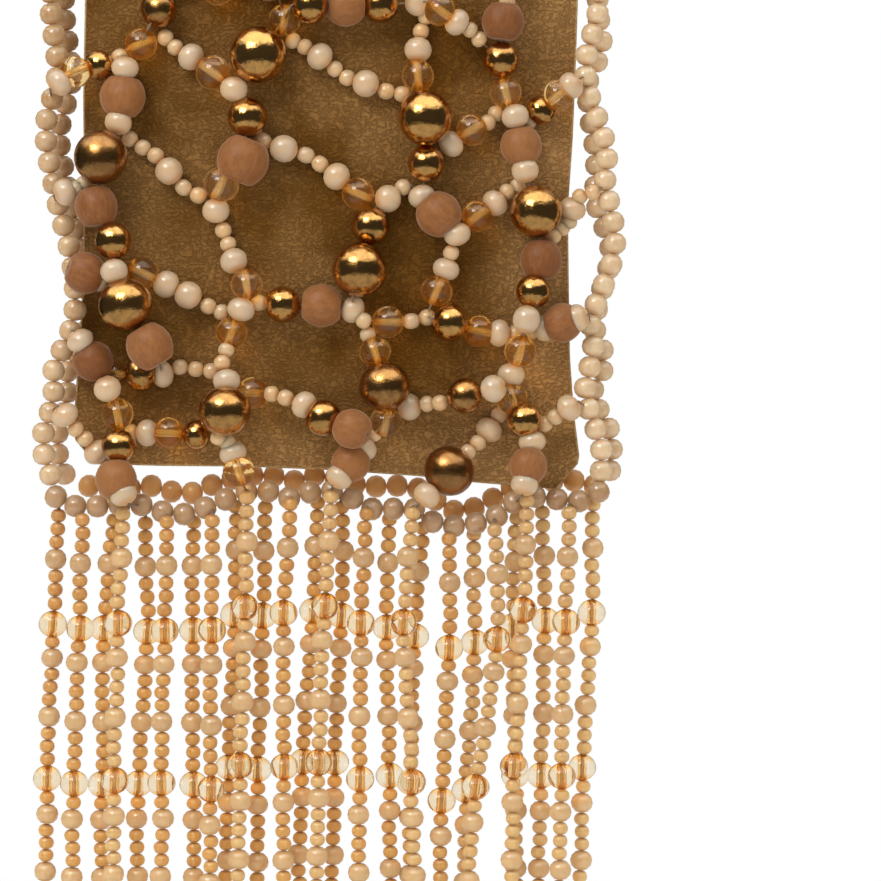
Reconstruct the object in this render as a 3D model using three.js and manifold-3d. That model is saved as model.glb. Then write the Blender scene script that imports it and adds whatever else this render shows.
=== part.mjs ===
import * as THREE from 'three';
import { mergeVertices } from 'three/addons/utils/BufferGeometryUtils.js';
import Module from 'manifold-3d';

const wasm = await Module();
wasm.setup();

// A small leather pouch in a bag of netted beads, with a bead fringe and a bead strap.
// It hangs by its strap: millimetres, +Z up, the front faces -Y.
// The origin is on the underside of the strap, where a hook bears.

// Strap
const strapDrop = 450;          // from the hook down to the pouch's mouth
const strapBend = 9;            // half the width of the strap's bend over the hook
const strapGather = 3.7;        // how far each strap strand lies from the middle at the hook

// Pouch
const pouchWidth = 150;
const pouchHeight = 165;
const pouchSwell = 6;           // how far each face stands out at its middle
const pouchWaist = 1;           // how far the side edges draw in half way down
const pouchFlare = 2;           // how far the lower corners spread
const pouchTilt = 3;            // how much lower the right end of the bottom edge hangs
const cornerRound = 7;
const leatherThickness = 1.2;
const crownPower = 0.7;         // how squarely the swelling meets the side seams
const pouchLevels = [0.985, 0.955, 0.85, 0.6, 0.3, 0];
const pouchFacets = 7;
const seamWidth = 4;            // flat sewn edge along the sides and the bottom

// Beads of the net: across the hole
const goldLargeDiameter = 16.5;
const goldMediumDiameter = 11.3;
const goldSmallDiameter = 9.2;
const woodDiameter = 13.4;
const woodLength = 11.6;
const glassDiameter = 9.3;
const glassSmallDiameter = 7.3;
const creamDiameter = 7.9;
const creamLength = 7.3;
const seedDiameter = 5;
const roundDiameter = 6.6;      // side strands, borders and strap

// Beads of the fringe
const fringeSeedDiameter = 4;
const fringeCreamDiameter = 6.4;
const fringeGlassDiameter = 8.2;

// Threads and spacing
const threadDiameter = 2.2;
const knotDiameter = 0.7;       // a fringe strand's thread where it is tied on the border
const knotGap = 0.3;
const valleyShare = 0.75;       // how far a knot sinks in between two border beads
const strapGap = 0.9;           // between the strap's end beads and the side strands
const clearance = 0.3;
const threadSlope = 0.2;        // how steeply a thread may run down from a big bead to a small one
const panelDepth = 7;           // from the middle plane to the side strands and borders
const backInset = 2.5;          // how much narrower the back panel's side strands hang
const fringeHang = 0.8;         // thread that shows between a border bead and a fringe strand

// Facets around a strand and passes of the settling
const columnSides = 5;
const borderSides = 6;
const plainSides = 4;
const settlePasses = 40;
const settleReach = 30;
const runBend = 0.2;            // turn, in radians, at which a plain run gets another ring
const runShare = 0.9;           // how thick a plain run is beside its beads
const ballShoulder = { along: 0.7, out: 0.72 };
const barrelShoulder = { along: 0.6, out: 0.93 };
const columnGive = 0.3;         // how easily the columns are pushed aside, beside the rungs' 1

// The net's points were laid out on a pouch of this size, in millimetres from its middle line and its mouth.
const layoutWidth = 150;
const layoutHeight = 165;

const beadKinds = {
  L: { diameter: goldLargeDiameter, length: goldLargeDiameter, form: 'ball' },
  M: { diameter: goldMediumDiameter, length: goldMediumDiameter, form: 'ball' },
  m: { diameter: goldSmallDiameter, length: goldSmallDiameter, form: 'ball' },
  W: { diameter: woodDiameter, length: woodLength, form: 'barrel' },
  G: { diameter: glassDiameter, length: glassDiameter, form: 'oval' },
  g: { diameter: glassSmallDiameter, length: glassSmallDiameter, form: 'oval' },
  C: { diameter: creamDiameter, length: creamLength, form: 'oval' },
  r: { diameter: roundDiameter, length: roundDiameter, form: 'oval' },
  s: { diameter: seedDiameter, length: seedDiameter, form: 'run' },
  t: { diameter: fringeSeedDiameter, length: fringeSeedDiameter, form: 'run' },
  c: { diameter: fringeCreamDiameter, length: fringeCreamDiameter, form: 'oval' },
  v: { diameter: fringeGlassDiameter, length: fringeGlassDiameter, form: 'oval' },
};

// Front net. A route goes from point to point (across, down from the mouth), beads strung between.
const columns = {
  net_column_1: [
    [-61.5, 39], 'C W C', [-62.5, 61], 'L', [-68, 76.5], 'W M', [-62.5, 99.5], 'C', [-62, 105], 'L W', [-50, 131],
  ],
  net_column_2: [
    [-16, 3], 'C', [-16, 9], 'W', [-13.5, 20.5], 'G', [-13.5, 31], 'L', [-28, 43.5], 'C M', [-23, 62],
    'W', [-26.5, 73.5], 'G', [-35, 79.5], 'C s s C', [-26.5, 102.5], 'G', [-23.5, 110.5], 'C', [-26, 117],
    'G', [-29, 125], 's s C', [-29, 139], 'L', [-31, 152], 's s C G', [-23.5, 167.5],
  ],
  net_column_3: [
    [-9.5, 23], 'M W M', [22.5, 21.5], 'C', [30, 22.5], 's s C G', [26, 49], 'L', [35, 62.5],
    'M', [27, 76], 'C W', [40.5, 87.5], 'C s C G', [33.5, 114.5],
  ],
  net_column_4: [
    [56.5, 3], 'C C', [55.5, 17.5], 's', [55, 21], 'W', [53.5, 33], 'M', [54, 44], 'G', [55.5, 53],
    'C W C', [61.5, 76.5], 'L', [67, 93], 'W M C', [60, 121], 'G C G', [56.5, 144.5], 'M C W C', [61, 170],
  ],
};
const rungs = {
  rung_top: [[-51, 28.5], 'M', [-50, 17.5], 's s G', [-29, 16], 's', [-21, 15]],
  rung_left_top: [[-81.5, 45], 'C G m s G', [-52, 29.5], 's s C G', [-29.5, 43.5]],
  rung_1_2_upper: [[-61.5, 60.5], 's s s C s s', [-36, 80]],
  rung_1_2_middle: [[-59.5, 102.5], 'G C C s s', [-29, 114.5]],
  rung_1_2_lower: [[-76, 120.5], 'C W', [-67.5, 133.5], 'g M C', [-46.5, 132], 's s s', [-32, 132]],
  drop_left: [[-67, 134], 'C G', [-61.5, 150.5], 'M W C', [-60, 172.5]],
  rung_2_3_top: [[-11, 31], 's s C s s C s s', [25, 48.5]],
  rung_2_3_upper: [[-22, 62], 's C s s C G', [14, 82.5], 'C s', [27, 75.5]],
  rung_2_3_middle: [[-22, 112], 's M W', [5, 113], 'C s', [14, 117.5], 'G s s', [33.5, 116]],
  rung_2_3_lower: [[-26, 137.5], 'G s s C', [-4, 144], 'M W', [13.5, 151.5]],
  drop_middle: [[12.5, 119], 's G', [16.5, 131.5], 'L', [22, 143.5], 'G s C W C', [2.5, 168]],
  rung_3_4_top: [[31, 22], 'G C s s', [50, 33.5]],
  rung_3_4_upper: [[35, 63], 'C G s s', [55, 53.5]],
  rung_3_4_second: [[41, 87.5], 'G C s s', [61, 76.5]],
  rung_3_4_middle: [[33, 116.5], 'M G C s', [59.5, 121]],
  rung_3_4_lower: [[22, 143.5], 'C s s M C', [54, 137]],
};
// Short strands that are tied into the strand they start or end on.
const tiedStrands = [
  { carrier: 'drop_left', at: 'start', route: [[-61, 150.5], 's C G m', [-35, 152]] },
  { carrier: 'rung_2_3_upper', at: 'start', route: [[14, 82.5], 'M L', [7.5, 110.5]] },
  { carrier: 'net_column_4', at: 'start', route: [[55, 146], 's C s s L C', [27.5, 172]] },
  { carrier: 'side_front_left', at: 'end', route: [[-70.5, 75], 's s C', [-81, 79.5]] },
  { carrier: 'side_front_left', at: 'end', route: [[-65.5, 104], 'C W', [-76.5, 102.5]] },
  { carrier: 'side_front_left', at: 'end', route: [[-65, 156], 'C s s C', [-82.5, 142.5]] },
  { carrier: 'side_front_right', at: 'end', route: [[59.5, 56.5], 's m G C', [79, 44]] },
  { carrier: 'side_front_right', at: 'end', route: [[67, 92.5], 's s s', [75, 86.5], 'C s s', [83.5, 78]] },
  { carrier: 'side_front_right', at: 'end', route: [[60, 121], 's C W C', [79.5, 116]] },
  { carrier: 'side_front_right', at: 'end', route: [[64, 148.5], 's s C', [79, 142]] },
];
// The back net is plainer: the columns and these rungs of the front, turned round.
const backRungs = ['rung_1_2_upper', 'rung_1_2_lower', 'rung_2_3_upper', 'rung_3_4_upper'];

// Strands of one bead, as the points that they hang through.
const sideLeft = [[-83.5, 1], [-83.5, 22], [-81.5, 42], [-85, 59], [-82.5, 76], [-76.5, 102.5], [-76.5, 116.5],
  [-83, 134], [-82.5, 140.5], [-86, 154], [-82.5, 167]];
const sideRight = [[83.5, 1], [83, 22], [79, 41.5], [85.5, 65.5], [85, 74], [88, 94.5], [80.5, 118.5],
  [81.5, 126], [79, 138.5], [84, 157], [83.5, 166]];
const borderFront = [[-81.5, 169], [-75.5, 173.5], [-56.5, 173], [-44.5, 176], [-20.5, 168.5], [-10.5, 171],
  [-1.5, 168.5], [5, 169.5], [16.5, 175], [25, 173.5], [32, 178], [40.5, 179.5], [52, 176.5], [58, 172],
  [64.5, 170.5], [76.5, 172], [82.5, 168.5]];
const borderBack = [[-76.5, 166.5], [-67.5, 169], [-54.5, 167.5], [-43.5, 170], [-32, 166], [-19, 164], [-10, 166],
  [-2, 164], [10.5, 167.5], [27, 168], [40.5, 175.5], [51, 171.5], [59, 167.5], [77.5, 166]];
const mouthRow = [[-76, 0.5], [-40, 1], [0, 1.5], [40, 1], [76, 0.5]];

// Fringe strands: the place across the border, the lean in 100, and how far behind the border it hangs.
const fringeBeads = 'ttt c ttt v t c ttt c ttt v t c ttt c ttt v t';
const fringeStrands = [
  [-81.5, -4, 1.5], [-73.5, -3, -1.5], [-65, -4.5, 4], [-61, -3, -4], [-55, -1.5, 4], [-48, -1.5, -2],
  [-40.5, 0, 4], [-34, -1.5, -3.6], [-27.5, -2.5, 4], [-23.5, -2.5, -4], [-18.5, -2, 4], [-10.5, -2, -2],
  [-2.5, -3.5, 4], [2, -3, -4], [5, -2.5, 4], [12.4, -2, -2], [19.5, 0.5, 4], [26.5, 0, -4], [29.7, -2, 4],
  [37.5, -2, -2], [45, -2.5, 3.6], [51.5, -4, -4], [58, 0.5, 4], [61, -4.5, -4], [66, 0, 4],
  [74, -2, -2], [81.5, -2, 4],
];

const colours = {
  leather: new THREE.MeshStandardMaterial({ color: 0x8b6a3e, roughness: 0.85, metalness: 0 }),
  cream: new THREE.MeshStandardMaterial({ color: 0xe4d3ba, roughness: 0.35, metalness: 0 }),
  column: new THREE.MeshStandardMaterial({ color: 0x9a6b3a, roughness: 0.3, metalness: 0.4 }),
  fringe: new THREE.MeshStandardMaterial({ color: 0xe2b982, roughness: 0.4, metalness: 0 }),
};

const bag = new THREE.Group();

function addPiece(name, geometry, material) {
  const mesh = new THREE.Mesh(geometry, material);
  mesh.name = name;
  bag.add(mesh);
  return mesh;
}

// Solids

function loft(rings) {
  const count = rings[0].length;
  const index = [];
  for (let ring = 0; ring + 1 < rings.length; ring += 1) {
    for (let i = 0; i < count; i += 1) {
      const near = ring * count + i;
      const next = ring * count + (i + 1) % count;
      index.push(near, next, next + count, near, next + count, near + count);
    }
  }
  const last = (rings.length - 1) * count;
  for (let i = 1; i + 1 < count; i += 1) {
    index.push(0, i + 1, i, last, last + i, last + i + 1);
  }
  const geometry = new THREE.BufferGeometry().setFromPoints(rings.flat());
  geometry.setIndex(index);
  return geometry;
}

function solidOf(geometry) {
  const merged = mergeVertices(geometry, 1e-4);
  const vertProperties = new Float32Array(merged.getAttribute('position').array);
  const triVerts = new Uint32Array(merged.index.array);
  return new wasm.Manifold(new wasm.Mesh({ numProp: 3, vertProperties, triVerts }));
}

function geometryOf(solid) {
  const mesh = solid.getMesh();
  const geometry = new THREE.BufferGeometry();
  geometry.setAttribute('position', new THREE.Float32BufferAttribute(mesh.vertProperties, 3));
  geometry.setIndex([...mesh.triVerts]);
  return geometry;
}

function fuse(geometries) {
  const solids = geometries.map(solidOf);
  return geometryOf(solids.slice(1).reduce((whole, solid) => whole.add(solid), solids[0]));
}

// Pouch

const clamp01 = (value) => Math.min(Math.max(value, 0), 1);

function pouchHalfWidth(share) {
  return pouchWidth / 2 - pouchWaist * Math.sin(Math.PI * share) + pouchFlare * share ** 6;
}

function pouchHalfDepth(x, down) {
  const share = clamp01(down / pouchHeight);
  const across = clamp01(Math.abs(x) / pouchHalfWidth(share));
  const crown = (1 - across * across) ** crownPower;
  const closing = 1 - share ** 5;
  return leatherThickness + pouchSwell * crown * closing;
}

const heightAt = (down) => -strapDrop - down;

const pouchHang = (share, across) => pouchTilt * share ** 3 * across;

// One level of the pouch, wound so that rings from the bottom up face outwards.
function pouchRing(share, inset, wall) {
  const down = share * pouchHeight;
  const nearBottom = clamp01((down - (pouchHeight - cornerRound)) / cornerRound);
  const rounding = cornerRound * (1 - Math.sqrt(1 - nearBottom * nearBottom));
  const half = pouchHalfWidth(share) - rounding - inset;
  const ring = [];
  for (const face of [-1, 1]) {
    for (let i = 0; i <= pouchFacets; i += 1) {
      const x = face * half * Math.cos(Math.PI * i / pouchFacets);
      const depth = Math.max(pouchHalfDepth(x, down) - wall, leatherThickness / 8);
      ring.push(new THREE.Vector3(x, face * depth, heightAt(down) - pouchHang(share, x / half)));
    }
  }
  return ring;
}

function makePouch() {
  const outer = loft([1, ...pouchLevels].map((share) => pouchRing(share, 0, 0)));
  const floor = 1 - (seamWidth + cornerRound / 2) / pouchHeight;
  const hollow = [floor, ...pouchLevels.filter((share) => share < floor)]
    .map((share) => pouchRing(share, seamWidth, leatherThickness));
  const above = hollow[hollow.length - 1].map((point) => point.clone().setZ(point.z + seamWidth));
  const inner = loft([...hollow, above]);
  addPiece('pouch', geometryOf(solidOf(outer).subtract(solidOf(inner))), colours.leather);
}

// Strung beads

// How far in front of the middle plane a bead rests: on the pouch, or hanging clear beside and below it.
function restDepth(x, down, radius) {
  const share = clamp01(down / pouchHeight);
  const level = down - pouchHang(share, x / pouchHalfWidth(share));
  const beside = clamp01((Math.abs(x) - pouchHalfWidth(share)) / seamWidth);
  const below = clamp01((level - pouchHeight) / seamWidth);
  const off = Math.max(beside, below);
  const onPouch = pouchHalfDepth(x, level) + clearance + radius;
  return onPouch * (1 - off) + Math.max(panelDepth, leatherThickness + clearance + radius) * off;
}

function makeBead(code, x, down, face) {
  const kind = beadKinds[code];
  const radius = kind.diameter / 2;
  const at = new THREE.Vector3(x, face * restDepth(x, down, radius), heightAt(down));
  return { code, kind, radius, face, at };
}

// Strings the beads of each leg of a route in proportion to their lengths.
function strungBeads(route, face) {
  const beads = [];
  route.forEach((words, i) => {
    if (typeof words !== 'string') {
      return;
    }
    const codes = words.replaceAll(' ', '').split('');
    const from = new THREE.Vector2(...route[i - 1]);
    const to = new THREE.Vector2(...route[i + 1]);
    const total = codes.reduce((sum, code) => sum + beadKinds[code].length, 0);
    let run = 0;
    for (const code of codes) {
      const point = from.clone().lerp(to, (run + beadKinds[code].length / 2) / total);
      run += beadKinds[code].length;
      const x = point.x * pouchWidth / layoutWidth * -face;
      beads.push(makeBead(code, x, point.y * pouchHeight / layoutHeight, face));
    }
  });
  liftNeighbours(beads, face);
  return beads;
}

// A big bead holds the thread off the pouch, so the small beads beside it don't lie flat.
function liftNeighbours(beads, face) {
  const lift = (bead, beside) => {
    const least = beside.at.y * face - threadSlope * bead.at.distanceTo(beside.at);
    bead.at.y = face * Math.max(bead.at.y * face, least);
  };
  for (let i = 1; i < beads.length; i += 1) {
    lift(beads[i], beads[i - 1]);
  }
  for (let i = beads.length - 2; i >= 0; i -= 1) {
    lift(beads[i], beads[i + 1]);
  }
}

// Round beads spaced along a hanging curve.
function rowOfBeads(points, face, depth, inset) {
  const scaled = points.map(([x, down]) => new THREE.Vector3(
    x * pouchWidth / layoutWidth - Math.sign(x) * inset,
    face * depth,
    heightAt(down * pouchHeight / layoutHeight),
  ));
  const curve = new THREE.CatmullRomCurve3(scaled);
  const count = Math.round(curve.getLength() / roundDiameter);
  const beads = [];
  for (let i = 0; i < count; i += 1) {
    beads.push({ ...makeBead('r', 0, 0, face), at: curve.getPointAt((i + 0.5) / count) });
  }
  return beads;
}

// Beads of different strands push each other aside, and none sinks into the pouch.
function settle(strands) {
  const pairs = [];
  strands.forEach((one, i) => {
    for (const other of strands.slice(i + 1)) {
      for (const a of one.beads) {
        for (const b of other.beads) {
          if (a.at.distanceTo(b.at) < settleReach) {
            pairs.push({ a, b, giveA: one.give, giveB: other.give });
          }
        }
      }
    }
  });
  for (let pass = 0; pass < settlePasses; pass += 1) {
    for (const { a, b, giveA, giveB } of pairs) {
      const apart = b.at.clone().sub(a.at);
      const lack = a.radius + b.radius + clearance - apart.length();
      if (lack > 0 && giveA + giveB > 0) {
        apart.setLength(lack / (giveA + giveB));
        a.at.addScaledVector(apart, -giveA);
        b.at.addScaledVector(apart, giveB);
      }
    }
    for (const { beads, give } of strands) {
      for (const bead of give > 0 ? beads : []) {
        const down = -strapDrop - bead.at.z;
        const least = restDepth(bead.at.x, down, bead.radius);
        bead.at.y = bead.face * Math.max(bead.at.y * bead.face, least);
      }
    }
  }
}

// One strand as a closed solid: rings around its thread, swelling at each bead.
function strandGeometry(beads, sides, options = {}) {
  const { plain = '', simple = false, turn = 0 } = options;
  const { tailStart = null, tailEnd = null, tailRadius = threadDiameter / 2 } = options;
  const rings = [];
  const blunt = plain === 'r';
  let lastAlong = null;
  const depthAxis = new THREE.Vector3(0, 1, 0);
  const addRing = (centre, along, radius) => {
    const toFront = depthAxis.clone().addScaledVector(along, -along.dot(depthAxis)).normalize();
    const toSide = toFront.clone().cross(along);
    const ring = [];
    for (let i = 0; i < sides; i += 1) {
      const angle = 2 * Math.PI * (i + turn) / sides;
      ring.push(centre.clone().addScaledVector(toFront, radius * Math.cos(angle))
        .addScaledVector(toSide, -radius * Math.sin(angle)));
    }
    rings.push(ring);
    lastAlong = along;
  };
  const isRun = (bead) => bead.kind.form === 'run' || plain.includes(bead.code);
  const runRadius = (bead) => bead.radius * runShare;
  const thread = threadDiameter / 2;
  const first = beads[0];
  const final = beads[beads.length - 1];
  const outward = (bead, inner) => bead.at.clone().sub(inner.at).setLength(bead.kind.length / 2);
  const startEnd = first.at.clone().add(outward(first, beads[1]));
  const finalEnd = final.at.clone().add(outward(final, beads[beads.length - 2]));
  const between = (a, b) => a.at.clone().lerp(b.at, a.kind.length / (a.kind.length + b.kind.length));
  const joints = [startEnd];
  for (let i = 0; i + 1 < beads.length; i += 1) {
    joints.push(between(beads[i], beads[i + 1]));
  }
  joints.push(finalEnd);

  if (tailStart) {
    addRing(tailStart, startEnd.clone().sub(tailStart).normalize(), tailRadius);
  }
  beads.forEach((bead, i) => {
    const before = joints[i];
    const after = joints[i + 1];
    const along = after.clone().sub(before).normalize();
    const earlier = beads[i - 1];
    const afterRun = earlier && isRun(earlier);
    if (isRun(bead)) {
      const beforeRun = i + 1 < beads.length && isRun(beads[i + 1]);
      if (!afterRun && !beforeRun) {
        addRing(bead === final ? after : bead.at, along, runRadius(bead));
      } else if (!afterRun) {
        addRing(before, along, i === 0 && !blunt ? thread : runRadius(bead));
      } else if (!beforeRun) {
        addRing(after, along, i + 1 === beads.length && !blunt ? thread : runRadius(bead));
      } else if (along.angleTo(lastAlong) > runBend) {
        addRing(bead.at, along, runRadius(bead));
      }
      return;
    }
    if (!afterRun) {
      addRing(before, earlier ? bead.at.clone().sub(earlier.at).normalize() : along, thread);
    }
    const ringAt = (share, radius) => {
      const toEnd = (share < 0 ? before : after).clone().sub(bead.at);
      toEnd.clampLength(0, bead.kind.length / 2).multiplyScalar(Math.abs(share));
      addRing(bead.at.clone().add(toEnd), along, bead.radius * radius);
    };
    const form = simple ? 'oval' : bead.kind.form;
    if (form === 'ball') {
      ringAt(-ballShoulder.along, ballShoulder.out);
      ringAt(0, 1);
      ringAt(ballShoulder.along, ballShoulder.out);
    } else if (form === 'barrel') {
      ringAt(-barrelShoulder.along, barrelShoulder.out);
      ringAt(barrelShoulder.along, barrelShoulder.out);
    } else {
      ringAt(0, 1);
    }
  });
  if (!isRun(final)) {
    addRing(finalEnd, finalEnd.clone().sub(final.at).normalize(), thread);
  }
  if (tailEnd) {
    addRing(tailEnd, tailEnd.clone().sub(finalEnd).normalize(), tailRadius);
  }
  return loft(rings);
}

const nearestBead = (beads, point) => beads.reduce(
  (best, bead) => (bead.at.distanceTo(point) < best.at.distanceTo(point) ? bead : best));

// The thread's end in the strand that carries it.
function tails(strand, carrierBeads) {
  const end = strand.at === 'start' ? strand.beads[0] : strand.beads[strand.beads.length - 1];
  const knot = nearestBead(carrierBeads, end.at).at;
  return strand.at === 'start' ? { tailStart: knot } : { tailEnd: knot };
}

// Front panel

function makeFrontPanel() {
  const rowStrands = [
    { name: 'side_front_left', beads: rowOfBeads(sideLeft, -1, panelDepth, 0), give: 0 },
    { name: 'side_front_right', beads: rowOfBeads(sideRight, -1, panelDepth, 0), give: 0 },
    { name: 'border_front', beads: rowOfBeads(borderFront, -1, panelDepth, 0), give: 0 },
    { name: 'mouth_row_front', beads: rowOfBeads(mouthRow, -1, mouthDepth(), 0), give: 0 },
  ];
  const columnStrands = Object.entries(columns).map(
    ([name, route]) => ({ name, beads: strungBeads(route, -1), give: columnGive }));
  const rungStrands = Object.entries(rungs).map(
    ([name, route]) => ({ name, beads: strungBeads(route, -1), give: 1 }));
  const tied = tiedStrands.map((strand) => ({ ...strand, beads: strungBeads(strand.route, -1), give: 1 }));
  settle([...rowStrands, ...columnStrands, ...rungStrands, ...tied]);
  for (const strand of [...rowStrands, ...columnStrands, ...rungStrands]) {
    const isColumn = columnStrands.includes(strand);
    const plain = strand.name === 'mouth_row_front' ? 'r' : '';
    const sides = strand.name === 'border_front' ? borderSides : plainSides;
    const own = strandGeometry(strand.beads, isColumn ? columnSides : sides, { plain });
    const branches = tied.filter((branch) => branch.carrier === strand.name)
      .map((branch) => strandGeometry(branch.beads, plainSides, tails(branch, strand.beads)));
    const material = isColumn ? colours.column : colours.cream;
    addPiece(strand.name, branches.length > 0 ? fuse([own, ...branches]) : own, material);
  }
  return rowStrands[2].beads;
}

// The mouth rows lie against the pouch's rim.
function mouthDepth() {
  return pouchHalfDepth(0, 0) + clearance + runShare * roundDiameter / 2;
}

// Back panel

function makeBackPanel() {
  const small = 'GgCms';
  const mouth = { beads: rowOfBeads(mouthRow, 1, mouthDepth(), 0), give: 0 };
  const rows = [['side_back_left', sideLeft, backInset], ['side_back_right', sideRight, backInset],
    ['border_back', borderBack, 0]].map(
    ([name, points, inset]) => ({ name, beads: rowOfBeads(points, 1, panelDepth, inset), give: 0 }));
  const posts = Object.values(columns).map((route) => ({ beads: strungBeads(route, 1), give: columnGive }));
  const links = backRungs.map((name) => ({ beads: strungBeads(rungs[name], 1), give: 1 }));
  settle([mouth, ...rows, ...posts, ...links]);
  const postBeads = posts.flatMap((post) => post.beads);
  const geometries = [strandGeometry(mouth.beads, plainSides, { plain: 'r' })];
  for (const { beads } of posts) {
    const tailStart = nearestBead(mouth.beads, beads[0].at).at;
    geometries.push(strandGeometry(beads, plainSides, { plain: small, simple: true, tailStart }));
  }
  for (const { beads } of links) {
    const tailStart = nearestBead(postBeads, beads[0].at).at;
    const tailEnd = nearestBead(postBeads, beads[beads.length - 1].at).at;
    geometries.push(strandGeometry(beads, plainSides, { plain: small, simple: true, tailStart, tailEnd }));
  }
  addPiece('net_back', fuse(geometries), colours.cream);
  for (const { name, beads } of rows) {
    addPiece(name, strandGeometry(beads, plainSides, { plain: 'r' }), colours.cream);
  }
}

// Fringe

function makeFringe(border) {
  const seed = fringeSeedDiameter / 2;
  fringeStrands.forEach(([across, lean, layer], i) => {
    const x = across * pouchWidth / layoutWidth;
    const { point: knot, radius, along } = placeOnRow(border, x);
    const reach = roundDiameter / 2 + seed + fringeHang;
    const drop = Math.sqrt(Math.max(reach * reach - layer * layer, seed * seed));
    const direction = new THREE.Vector3(lean / 100, 0, -1).normalize();
    const beads = [];
    let run = 0;
    for (const code of fringeBeads.replaceAll(' ', '')) {
      const kind = beadKinds[code];
      const at = new THREE.Vector3(knot.x, knot.y + layer, knot.z - drop);
      at.addScaledVector(direction, run + kind.length / 2 - seed);
      run += kind.length;
      beads.push({ code, kind, radius: kind.diameter / 2, at });
    }
    const top = beads[0].at.clone().addScaledVector(direction, -seed).sub(knot).setX(0);
    const underside = radius / top.normalize().clone().cross(along).length();
    const tailStart = top.setLength(underside + knotGap).add(knot);
    const tailRadius = knotDiameter / 2;
    const name = `fringe_${String(i + 1).padStart(2, '0')}`;
    const strand = strandGeometry(beads, plainSides, { turn: 0.5, tailStart, tailRadius });
    const mesh = addPiece(name, strand, colours.fringe);
    mesh.userData.knot = knot.toArray();
  });
}

// The point of a hanging row straight above or below x, with the row's direction and thickness there.
function placeOnRow(beads, x) {
  const later = beads.findIndex((bead, i) => i > 0 && bead.at.x >= x);
  const next = later > 0 ? later : beads.length - 1;
  const a = beads[next - 1].at;
  const b = beads[next].at;
  const point = a.clone().lerp(b, clamp01((x - a.x) / (b.x - a.x)));
  const toBead = Math.min(point.distanceTo(a), point.distanceTo(b));
  const thinning = valleyShare * clamp01(2 * toBead / roundDiameter);
  const radius = THREE.MathUtils.lerp(roundDiameter / 2, threadDiameter / 2, thinning);
  return { point, radius, along: b.clone().sub(a).normalize() };
}

// Strap

function makeStrap(name, face) {
  const [sideAcross, sideTop] = sideRight[0];
  const top = heightAt(sideTop * pouchHeight / layoutHeight) + strapGap;
  const sideX = sideAcross * pouchWidth / layoutWidth;
  const radius = roundDiameter / 2;
  const inset = face > 0 ? backInset : 0;
  const leg = (side) => [
    new THREE.Vector3(side * (sideX - inset), face * panelDepth, top),
    new THREE.Vector3(side * (sideX - inset + strapBend) / 2, face * (panelDepth + strapGather) / 2, top / 2),
    new THREE.Vector3(side * strapBend, face * strapGather, -strapBend),
  ];
  const crest = new THREE.Vector3(0, face * strapGather, radius);
  const curve = new THREE.CatmullRomCurve3([...leg(-1), crest, ...leg(1).reverse()]);
  const count = Math.round(curve.getLength() / roundDiameter);
  const beads = [];
  for (let i = 0; i < count; i += 1) {
    beads.push({ ...makeBead('r', 0, 0, face), at: curve.getPointAt((i + 0.5) / count) });
  }
  addPiece(name, strandGeometry(beads, plainSides + 1, { plain: 'r' }), colours.cream);
}

makePouch();
const borderBeads = makeFrontPanel();
makeBackPanel();
makeFringe(borderBeads);
makeStrap('strap_front', -1);
makeStrap('strap_back', 1);

export default bag;
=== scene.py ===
import math
import random

import bmesh
import bpy
from mathutils import Matrix, Vector, noise


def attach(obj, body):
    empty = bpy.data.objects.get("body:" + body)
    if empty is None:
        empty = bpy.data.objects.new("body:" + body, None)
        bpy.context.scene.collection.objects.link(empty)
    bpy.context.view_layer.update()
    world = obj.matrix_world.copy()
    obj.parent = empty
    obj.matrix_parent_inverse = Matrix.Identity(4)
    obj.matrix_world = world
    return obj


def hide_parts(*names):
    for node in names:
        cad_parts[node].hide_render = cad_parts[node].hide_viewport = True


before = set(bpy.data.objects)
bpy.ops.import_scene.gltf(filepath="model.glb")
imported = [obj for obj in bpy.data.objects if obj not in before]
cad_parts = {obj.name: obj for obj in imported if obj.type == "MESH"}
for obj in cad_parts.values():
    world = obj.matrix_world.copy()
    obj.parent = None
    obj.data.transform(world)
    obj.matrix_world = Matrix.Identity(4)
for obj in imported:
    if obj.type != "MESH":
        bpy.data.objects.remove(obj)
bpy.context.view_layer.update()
scene = bpy.context.scene
mm = 0.001
dice = random.Random(11)

# form of the pouch, in millimetres; a power says how sharply it curves, flares, tilts or closes towards its bottom
pouchForm = {"width": 150, "height": 165, "mouthDown": 450, "swell": 6, "crownPower": 0.7, "closePower": 5, "waist": 1,
             "flare": 2, "flarePower": 6, "tilt": 3, "tiltPower": 3, "leather": 1.2, "seam": 4, "panelDepth": 7,
             "clearance": 0.3}


def clamp01(value):
    return min(max(value, 0.0), 1.0)


def heightAt(down):
    return -pouchForm["mouthDown"] - down


def pouchHalfWidth(share):
    waist = pouchForm["waist"] * math.sin(math.pi * share)
    return pouchForm["width"] / 2 - waist + pouchForm["flare"] * share ** pouchForm["flarePower"]


def pouchHalfDepth(x, down):
    share = clamp01(down / pouchForm["height"])
    across = clamp01(abs(x) / pouchHalfWidth(share))
    crown = (1 - across * across) ** pouchForm["crownPower"]
    return pouchForm["leather"] + pouchForm["swell"] * crown * (1 - share ** pouchForm["closePower"])


# how far from the middle plane a bead lies: on the pouch, or free beside and below it
def restDepth(x, down, radius):
    share = clamp01(down / pouchForm["height"])
    hang = pouchForm["tilt"] * share ** pouchForm["tiltPower"] * (x / pouchHalfWidth(share))
    level = down - hang
    beside = clamp01((abs(x) - pouchHalfWidth(share)) / pouchForm["seam"])
    below = clamp01((level - pouchForm["height"]) / pouchForm["seam"])
    off = max(beside, below)
    onPouch = pouchHalfDepth(x, level) + pouchForm["clearance"] + radius
    clear = max(pouchForm["panelDepth"], pouchForm["leather"] + pouchForm["clearance"] + radius)
    return onPouch * (1 - off) + clear * off


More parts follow.
